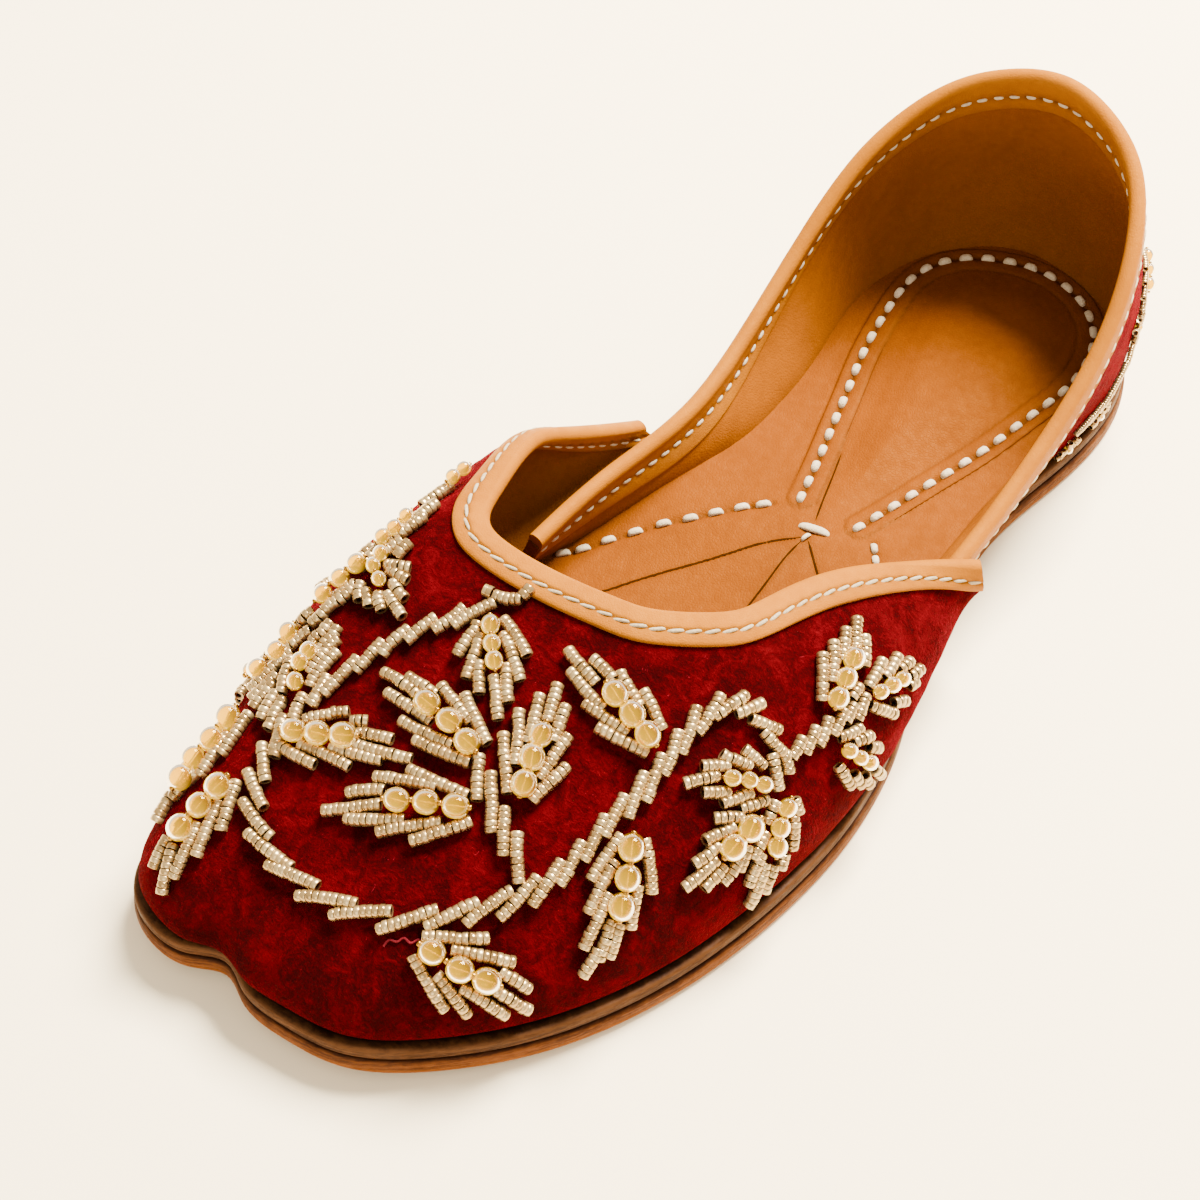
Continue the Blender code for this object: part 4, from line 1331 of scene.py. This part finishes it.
# strands of the vine, each from end to end
vineStrands = {
    "throatCurl": [(484, 590, 492, 594), (493, 594, 510, 600), (510, 600, 522, 598), (522, 598, 532, 588)],
    "rise": [(452, 626, 495, 602), (433, 631, 465, 607), (406, 642, 436, 617), (381, 655, 409, 628),
             (355, 671, 384, 641), (323, 695, 358, 657), (309, 705, 328, 676), (293, 720, 304, 695),
             (272, 756, 285, 717)],
    "turn": [(283, 715, 274, 757), (262, 743, 265, 782), (247, 770, 264, 808), (242, 800, 271, 838),
             (247, 832, 292, 868), (266, 864, 318, 887), (296, 896, 357, 904), (330, 915, 392, 911)],
    "sweep": [(377, 930, 438, 909), (425, 928, 478, 901), (465, 925, 513, 890), (499, 919, 538, 877),
              (532, 906, 562, 860), (559, 885, 582, 841), (583, 861, 606, 815), (604, 837, 626, 795),
              (628, 819, 645, 772), (645, 802, 663, 754), (663, 775, 679, 730), (681, 754, 697, 706),
              (697, 733, 722, 695), (714, 717, 746, 695)],
    "hook": [(736, 714, 763, 702), (750, 719, 780, 731), (763, 731, 788, 757), (772, 754, 779, 790),
             (784, 755, 789, 774)],
    "sideBranch": [(791, 758, 803, 737), (805, 754, 817, 727), (819, 746, 829, 717), (832, 735, 845, 710),
                   (845, 722, 854, 704), (857, 720, 866, 695)],
    "stem": [(479, 755, 477, 801), (491, 772, 491, 833), (505, 807, 503, 856), (517, 832, 519, 884)],
    "innerBranch": [(452, 485, 421, 506), (437, 503, 400, 534), (425, 516, 389, 541), (374, 546, 353, 569),
                    (381, 546, 360, 570), (356, 584, 330, 603), (353, 588, 311, 624), (314, 611, 298, 625),
                    (311, 630, 275, 662)],
}

# leaves: amber beads along the middle, strands fanned round them
leaves = {
    "middleUpperLeft": {
        "ambers": [(427, 702), (449, 720), (467, 741)],
        "strands": [(383, 672, 417, 694), (407, 676, 437, 695), (440, 685, 471, 723), (465, 694, 488, 744),
                    (386, 692, 432, 722), (400, 720, 453, 745), (414, 739, 471, 763)]},
    "throatDown": {
        "ambers": [(491, 625), (492, 643), (494, 660)],
        "strands": [(478, 622, 457, 656), (481, 634, 465, 679), (480, 662, 479, 694), (493, 675, 498, 720),
                    (503, 618, 528, 656), (503, 634, 520, 681), (507, 664, 508, 703)]},
    "middleUp": {
        "ambers": [(541, 735), (532, 757), (524, 783)],
        "strands": [(503, 733, 508, 794), (519, 709, 515, 766), (540, 694, 527, 743), (558, 684, 547, 722),
                    (565, 705, 553, 742), (569, 735, 539, 779), (568, 766, 531, 801)]},
    "middleLeft": {
        "ambers": [(397, 800), (426, 802), (456, 805)],
        "strands": [(322, 811, 381, 804), (347, 793, 385, 790), (375, 777, 437, 787), (408, 769, 468, 796),
                    (345, 819, 405, 819), (376, 833, 442, 822), (410, 842, 471, 821)]},
    "leftPointingRight": {
        "ambers": [(293, 730), (317, 733), (343, 735)],
        "strands": [(304, 720, 349, 711), (352, 722, 368, 722), (357, 733, 393, 740), (355, 744, 412, 759),
                    (330, 746, 382, 760), (299, 744, 350, 767), (280, 746, 315, 765)]},
    "throatRight": {
        "ambers": [(614, 693), (631, 712), (648, 733)],
        "strands": [(567, 649, 597, 683), (592, 658, 614, 680), (618, 671, 640, 707), (643, 690, 662, 730),
                    (570, 670, 603, 709), (583, 702, 628, 733), (596, 726, 648, 753)]},
    "sweepDown": {
        "ambers": [(632, 848), (628, 878), (622, 907)],
        "strands": [(622, 835, 590, 881), (616, 861, 588, 914), (609, 893, 583, 950), (599, 949, 582, 977),
                    (612, 920, 598, 960), (620, 923, 609, 958), (644, 839, 652, 894), (638, 885, 630, 929)]},
    "toeRight": {
        "ambers": [(432, 952), (460, 970), (487, 981)],
        "strands": [(422, 936, 489, 938), (451, 949, 515, 963), (500, 971, 530, 990), (495, 990, 530, 1011),
                    (460, 987, 507, 1016), (436, 974, 468, 1016), (412, 955, 446, 1011)]},
    "toeLeft": {
        "ambers": [(217, 786), (199, 805), (180, 827)],
        "strands": [(237, 781, 220, 831), (220, 800, 196, 857), (198, 823, 173, 878), (174, 845, 162, 894),
                    (168, 837, 153, 868)]},
    "farLeft": {
        "ambers": [(229, 718), (211, 738), (192, 759), (178, 777)],
        "strands": [(250, 713, 221, 755), (228, 733, 199, 776), (198, 772, 172, 798), (172, 794, 156, 822)]},
    "leftUpper": {
        "ambers": [(307, 650), (301, 662), (295, 680)],
        "strands": [(332, 622, 312, 643), (338, 626, 316, 655), (339, 639, 309, 673), (338, 651, 309, 687),
                    (328, 678, 311, 706), (291, 650, 251, 690), (278, 674, 251, 700), (274, 684, 253, 708),
                    (277, 692, 261, 720), (283, 698, 268, 730), (291, 659, 281, 694)]},
    "flower": {
        "ambers": [(381, 554), (373, 565), (379, 579)],
        "strands": [(410, 541, 396, 557), (403, 541, 386, 551), (410, 568, 386, 565), (407, 580, 389, 571),
                    (404, 599, 392, 582), (403, 617, 387, 593), (382, 611, 378, 593), (370, 606, 366, 590),
                    (358, 600, 361, 581)]},
    "innerTop": {"ambers": [(465, 468), (453, 476)], "strands": []},
    "innerMiddle": {"ambers": [(406, 514), (394, 527), (382, 537)], "strands": []},
    "innerLow": {"ambers": [(356, 563), (340, 579), (323, 594)], "strands": []},
    "innerFoot": {"ambers": [(287, 632), (274, 650), (256, 670)], "strands": []},
    "sideUp": {
        "ambers": [(855, 658), (847, 678), (839, 698)],
        "strands": [(823, 653, 822, 701), (833, 641, 831, 682), (846, 628, 842, 661), (857, 618, 855, 649),
                    (864, 635, 864, 667), (860, 686, 850, 698)]},
    "sideRight": {
        "ambers": [(903, 679), (893, 685), (881, 692)],
        "strands": [(883, 659, 868, 688), (898, 655, 884, 678), (910, 661, 899, 670), (920, 668, 910, 676),
                    (916, 681, 909, 687), (906, 701, 893, 703), (894, 714, 870, 706)]},
    "sideDown": {
        "ambers": [(850, 751), (861, 758), (870, 763)],
        "strands": [(861, 727, 839, 738), (871, 735, 853, 742), (879, 748, 868, 747), (838, 765, 851, 786),
                    (853, 773, 861, 785), (864, 775, 869, 785), (874, 768, 880, 775)]},
    "sweepLeft": {
        "ambers": [(733, 778), (750, 780), (765, 785)],
        "strands": [(743, 748, 764, 767), (721, 754, 750, 767), (701, 766, 729, 765), (684, 784, 719, 776),
                    (702, 792, 729, 792), (721, 804, 752, 792), (740, 809, 767, 800)]},
    "sweepDownLeft": {
        "ambers": [(752, 828), (734, 848)],
        "strands": [(714, 819, 742, 817), (704, 841, 735, 826), (694, 865, 719, 845), (684, 889, 717, 859),
                    (703, 889, 725, 866), (722, 883, 739, 861), (739, 871, 748, 845), (776, 801, 766, 823),
                    (767, 833, 752, 859)]},
    "sweepRight": {
        "ambers": [(788, 808), (781, 828), (778, 847)],
        "strands": [(762, 853, 748, 886), (766, 863, 748, 907), (774, 865, 764, 892), (783, 853, 780, 869),
                    (794, 816, 792, 849), (794, 798, 798, 814)]},
}

velvetTree = {wall: treeOf(piece) for wall, piece in velvets.items()}
beadStores = {key: {"places": [], "ways": [], "ups": [], "sizes": []}
              for key in ("vineBeads", "leftLeafBeads", "rightLeafBeads", "wallBeads", "amberBeads",
                          "goldBeads")}


def addBead(store, place, way, up, size):
    for key, value in (("places", place), ("ways", way), ("ups", up), ("sizes", size)):
        beadStores[store][key].append(value)


def strandOn(store, line, normals, scale=1.0):
    # beads threaded along a line of raised points, a little bowed as a loose strand lies
    run = runLength(line)
    count = max(2, int(round(run[-1] / (beadLooks["length"] * scale))))
    pitch = run[-1] / count
    spots = (np.arange(count) + 0.5) * pitch
    share = spots / run[-1]
    centre = follow(run, line, spots)
    out = unit(follow(run, normals, spots))
    side = unit(np.cross(out, np.gradient(centre, axis=0)))
    bow = 4 * share * (1 - share)
    bend = chance.uniform(-1, 1) * beadLooks["bend"] * scale * min(1.0, run[-1] / (12 * mm))
    lift = chance.uniform(0.2, 0.9) * beadLooks["lift"] * scale
    stray = chance.normal(0, beadLooks["stray"] * scale, (2, count))
    centre = centre + side * (bend * bow + stray[0])[:, None] + out * (lift * bow + stray[1])[:, None]
    ahead = unit(np.gradient(centre, axis=0)) + chance.normal(0, 0.045, (count, 3))
    for k in range(count):
        wide = scale * chance.uniform(0.95, 1.04)
        addBead(store, centre[k], ahead[k], out[k], (pitch / beadLooks["length"], wide, wide))


def strandThrough(store, found, scale=1.0):
    places, normals = zip(*found)
    strandOn(store, np.array(places), np.array(normals), scale)


def pictureStrand(store, ends, scale=1.0):
    height = beadLooks["radius"] * beadLooks["lie"] * scale
    ends = np.array(ends, float).reshape(2, 2)
    strandThrough(store, [raisedOn(velvetTree["vamp"], ends[0] * (1 - t) + ends[1] * t, height)
                          for t in np.linspace(0, 1, 5)], scale)


def amberRow(found, scale=1.0):
    centres, normals = (np.array(values) for values in zip(*found))
    ways = np.gradient(centres, axis=0)
    for centre, way, normal in zip(centres, ways, normals):
        size = scale * chance.uniform(0.95, 1.05)
        way = unit(way) + chance.normal(0, 0.12, 3)
        addBead("amberBeads", centre, way, normal, (size * 1.02, size, size))
    for k in range(len(centres) - 1):
        middle = (centres[k] + centres[k + 1]) / 2 + (normals[k] + normals[k + 1]) * 0.25 * mm
        addBead("goldBeads", middle, centres[k + 1] - centres[k], normals[k], (scale,) * 3)
    for k, other in ((0, 1), (-1, -2)):
        way = unit(centres[k] - centres[other])
        beyond = way * beadLooks["amber"] * scale * 1.12
        addBead("goldBeads", centres[k] + beyond, way, normals[k], (scale,) * 3)


for strands in vineStrands.values():
    for ends in strands:
        pictureStrand("vineBeads", ends)
for leaf in leaves.values():
    found = [raisedOn(velvetTree["vamp"], pixel, beadLooks["amber"] * 1.2) for pixel in leaf["ambers"]]
    spacing = np.linalg.norm(np.diff([place for place, _ in found], axis=0), axis=1).mean()
    largest = 1.0 if leaf["strands"] else 0.8
    amberRow(found, float(np.clip(spacing / (2.02 * beadLooks["amber"]), 0.62, largest)))
    store = "leftLeafBeads" if leaf["ambers"][0][0] < 500 else "rightLeafBeads"
    for ends in leaf["strands"]:
        pictureStrand(store, ends)


# leaves on the sides that the picture doesn't show, laid out on the wall itself
wallLeafLooks = {
    # place round the sole, distance below the edge, turn from the edge's way in degrees, size
    "vamp": [(0.770, 20, 200, 0.8), (0.742, 31, 215, 0.85), (0.715, 38, 190, 0.9),
             (0.690, 43, 165, 0.9), (0.662, 46, 200, 0.9), (0.628, 52, 175, 0.9)],
    "quarter": [(0.020, 20, 60, 0.6), (-0.020, 20, 120, 0.6), (0.000, 44, 90, 0.6), (-0.052, 26, 160, 0.6),
                (0.052, 26, 20, 0.6)],
}
wallVines = {
    # places and distances that the vine runs through
    "vamp": [(0.785, 10), (0.768, 14), (0.750, 21), (0.728, 24), (0.705, 31), (0.680, 34), (0.655, 36),
             (0.636, 41)],
    "quarter": [(-0.128, 20), (-0.100, 26), (-0.075, 35), (-0.050, 38), (-0.025, 34), (0.000, 30),
                (0.025, 34), (0.050, 38), (0.072, 37), (0.092, 33), (0.112, 27)],
}
# small round flowers: picture points on the outer side, place and distance on the rest
quarterFlowers = {
    "seen": [(1141, 328), (1103, 419), (1073, 455)],
    "placed": [(0.040, 44), (-0.040, 44), (-0.075, 42), (-0.105, 30), (-0.128, 22)],
    "size": 0.62,
    "strands": 8,
}


def settled(wall, aim, height):
    # the velvet's nearest point, raised by a height, and the way out of it
    place, out = (np.array(found) for found in velvetTree[wall].find_nearest(Vector(aim))[:2])
    return place + out * height, out


def onWall(wall, centre, way, across, normal, along, aside, height):
    # a point of a flat pattern, brought down onto the velvet
    return settled(wall, centre + way * along + across * aside + normal * 2 * mm, height)


def wallLeaf(wall, place, distance, turn, size):
    centre, normal = (v[0] for v in wallPoint(wall, place, distance * mm))
    ahead = wallPoint(wall, place + 0.002, distance * mm)[0][0] - centre
    ahead = unit(ahead - normal * (ahead @ normal))
    down = np.cross(normal, ahead)
    angle = math.radians(turn)
    way = ahead * math.cos(angle) + down * math.sin(angle)
    pattern = (wall, centre, way, np.cross(normal, way), normal)
    step = 2.04 * beadLooks["amber"] * size
    amberRow([onWall(*pattern, k * step, 0, beadLooks["amber"] * 1.2 * size) for k in (-1, 0, 1)], size)
    fans = [(-1.6, 1.3, 0.2, 4.4), (-0.5, 1.2, 1.3, 3.9), (0.6, 1.0, 2.5, 2.6), (1.3, 0.15, 3.4, 0.4)]
    fans = fans + [(a, -b, c, -d) for a, b, c, d in fans[:3]]
    height = beadLooks["radius"] * beadLooks["lie"] * size
    for a, b, c, d in fans:
        strandThrough("wallBeads", [onWall(*pattern, (a * (1 - t) + c * t) * step * 0.9,
                                           (b * (1 - t) + d * t) * 1.5 * mm * size, height)
                                    for t in np.linspace(0, 1, 5)], size)


def wallVine(wall, knots, size):
    # short strands laid aslant, each a little past the start of the next
    run = np.arange(len(knots))
    curve = spline(run, np.array(knots, float))(np.linspace(0, len(knots) - 1, 120))
    points, normals = wallPoint(wall, curve[:, 0], curve[:, 1] * mm)
    length = runLength(points)
    pitch = 8.2 * mm * size
    height = beadLooks["radius"] * beadLooks["lie"] * size
    for start in np.arange(1.0 * mm, length[-1] - pitch * 1.3, pitch):
        found = []
        for t in np.linspace(0, 1, 4):
            s = start + t * pitch * 1.25
            base = follow(length, points, s)
            across = np.cross(follow(length, normals, s), unit(follow(length, points, s + 0.5 * mm) - base))
            found.append(settled(wall, base + across * (t - 0.5) * 3.4 * mm * size, height))
        strandThrough("wallBeads", found, size)


def wallFlower(centre, normal, size):
    # short strands all round one small glass bead
    way = unit(np.cross(normal, (0.0, 0.0, 1.0)))
    pattern = ("quarter", centre, way, np.cross(normal, way), normal)
    heart, out = onWall(*pattern, 0, 0, beadLooks["amber"] * 0.62 * size)
    addBead("amberBeads", heart, way, out, (0.62 * size,) * 3)
    height = beadLooks["radius"] * beadLooks["lie"] * size
    for k in range(quarterFlowers["strands"]):
        angle = 2 * math.pi * (k + 0.3) / quarterFlowers["strands"] + chance.uniform(-0.12, 0.12)
        reach = chance.uniform(5.6, 6.8) * mm * size
        strandThrough("wallBeads", [onWall(*pattern, t * math.cos(angle), t * math.sin(angle), height)
                                    for t in np.linspace(2.2 * mm * size, reach, 4)], size * 0.9)


for wall, rows in wallLeafLooks.items():
    for row in rows:
        wallLeaf(wall, *row)
for wall, knots in wallVines.items():
    wallVine(wall, knots, 0.9 if wall == "vamp" else 0.5)
for pixel in quarterFlowers["seen"]:
    wallFlower(*findOn(velvetTree["quarter"], pixel), quarterFlowers["size"])
for place, distance in quarterFlowers["placed"]:
    wallFlower(*(v[0] for v in wallPoint("quarter", place, distance * mm)), quarterFlowers["size"])


def seedTemplate():
    r, half, hole = beadLooks["radius"], beadLooks["length"] / 2, beadLooks["hole"]
    profile = [(-half * 0.7, hole), (-half * 0.98, r * 0.88), (-half * 0.72, r * 0.99),
               (half * 0.72, r * 0.99), (half * 0.98, r * 0.88), (half * 0.7, hole)]
    # the rings round the hole carry painted shade
    return ringTemplate(profile, beadLooks["sides"], closed=True), [1.0, 0.15, 0, 0, 0.15, 1.0]


def amberTemplate():
    r = beadLooks["amber"]
    profile = []
    for k in range(10):
        a = math.pi * (0.08 + 0.84 * k / 9)
        profile.append((-r * 1.04 * math.cos(a), r * math.sin(a) ** 0.9))
    return ringTemplate(profile, 14)


def goldTemplate():
    r = beadLooks["gold"]
    half = [(0.62 * r, 0.3 * r), (0.6 * r, 0.7 * r), (0.3 * r, r)]
    return ringTemplate([(-along, radius) for along, radius in half] + half[::-1], 9)


def beadPiece(store, template, finish, slot, marks=None, sides=1, sharp=45):
    kept = beadStores[store]
    turns = turned(np.array(kept["ways"]), np.array(kept["ups"]))
    points, faces = copies(template, kept["places"], turns, np.array(kept["sizes"]))
    layers = None
    if marks:
        layers = {"shade": np.tile(np.repeat(marks, sides), len(kept["places"]))}
    elif slot == "amber_beads":
        # painted glow on the side of a glass bead turned from the lamp, standing in for the light that
        # gathers there
        away = unit(points - np.repeat(np.array(kept["places"]), len(template[0]), axis=0))
        layers = {"glow": smooth(away @ unit(np.array(beadLooks["glowWay"])), -0.25, 1.0)}
    meshPiece(store, points, faces, finish, slot, sharp, layers)


seedShape, seedShade = seedTemplate()
for store in ("vineBeads", "leftLeafBeads", "rightLeafBeads", "wallBeads"):
    beadPiece(store, seedShape, finishes["beads"], "seed_beads", seedShade, beadLooks["sides"])
beadPiece("amberBeads", amberTemplate(), finishes["amber"], "amber_beads", sharp=25)
beadPiece("goldBeads", goldTemplate(), finishes["gold"], "gold_beads")
ambers = beadStores["amberBeads"]
threadEnd, threadRadius = beadLooks["amber"] * 0.98, 0.2 * mm
threadShape = ringTemplate([(-threadEnd, threadRadius), (threadEnd, threadRadius)], 6)
amberTurns = turned(np.array(ambers["ways"]), np.array(ambers["ups"]))
threads = copies(threadShape, ambers["places"], amberTurns, np.array(ambers["sizes"]))
meshPiece("beadThreads", *threads, finishes["whiteThread"], "thread", 60)

# a loose end of the red sewing thread lies on the velvet beside the lowest leaf
looseLooks = {
    "pixels": [(384, 947), (391, 940), (398, 942), (404, 938), (411, 943), (419, 940), (424, 945)],
    "height": 0.45 * mm,
    "radius": 0.22 * mm,
    "sides": 6,
    "count": 60,
}
looseSpots = [findOn(velvetTree["vamp"], pixel) for pixel in looseLooks["pixels"]]
looseLine = np.array([spot + looseLooks["height"] * out for spot, out in looseSpots])
looseRun = runLength(looseLine)
looseCurve = spline(looseRun, looseLine)(np.linspace(0, looseRun[-1], looseLooks["count"]))
looseWay = unit(np.gradient(looseCurve, axis=0))
looseSide = unit(np.cross(looseWay, looseSpots[0][1]))
looseUp = np.cross(looseSide, looseWay)
looseAngles = np.linspace(0, 2 * math.pi, looseLooks["sides"], endpoint=False)
across, above = (wave(looseAngles)[None, :, None] for wave in (np.cos, np.sin))
looseRing = across * looseSide[:, None] + above * looseUp[:, None]
looseSections = looseCurve[:, None] + looseLooks["radius"] * looseRing
meshPiece("looseThread", *sweptStrip(looseSections), finishes["redThread"], "thread", 60)
print("beads made:", {key: len(kept["places"]) for key, kept in beadStores.items()})
triangles = {piece.name: sum(len(face.vertices) - 2 for face in piece.data.polygons)
             for piece in bpy.context.scene.collection.objects if piece.type == "MESH"}
print("triangles:", sum(triangles.values()), triangles)

# ---- floor and light
stageLooks = {
    "floor": (0.98, 0.82, 0.54),
    "patches": 0.985,
    "half": 3.0,
    "level": -0.3 * mm,
    "world": (1.0, 0.93, 0.82),
    "worldStrength": 1.25,
    # place, size, watts, colour
    "keyLight": ((-0.04, 0.68, 1.0), (0.5, 0.5), 132, (1.0, 0.955, 0.88)),
    "fillLight": ((0.6, -0.9, 0.7), (0.9, 0.9), 8, (1.0, 0.97, 0.93)),
    "aim": (0, 0, 0.02),
}
floorFinish = Finish("paleFloor", Roughness=0.85, Specular_IOR_Level=0.1)
floorFinish.set("Base_Color", floorFinish.mix(floorFinish.noise(0.35, 2, 0.5), stageLooks["floor"],
                                              tuple(stageLooks["patches"] * c for c in stageLooks["floor"])))
floorCorners = [(x * stageLooks["half"], y * stageLooks["half"], stageLooks["level"])
                for x, y in ((-1, -1), (1, -1), (1, 1), (-1, 1))]
floor = meshPiece("floor", floorCorners, [(0, 1, 2, 3)], floorFinish, "", rides=False)
world = bpy.data.worlds.new("studio")
world.use_nodes = True
world.node_tree.nodes["Background"].inputs[0].default_value = (*stageLooks["world"], 1)
world.node_tree.nodes["Background"].inputs[1].default_value = stageLooks["worldStrength"]
bpy.context.scene.world = world


def softbox(name, place, size, power, colour):
    data = bpy.data.lights.new(name, "AREA")
    data.shape = "RECTANGLE"
    data.size, data.size_y = size
    data.energy = power
    data.color = colour
    lamp = bpy.data.objects.new(name, data)
    bpy.context.scene.collection.objects.link(lamp)
    lamp.location = place
    lamp.rotation_euler = (Vector(place) - Vector(stageLooks["aim"])).to_track_quat("Z", "Y").to_euler()


for name in ("keyLight", "fillLight"):
    softbox(name, *stageLooks[name])
print("stage set")
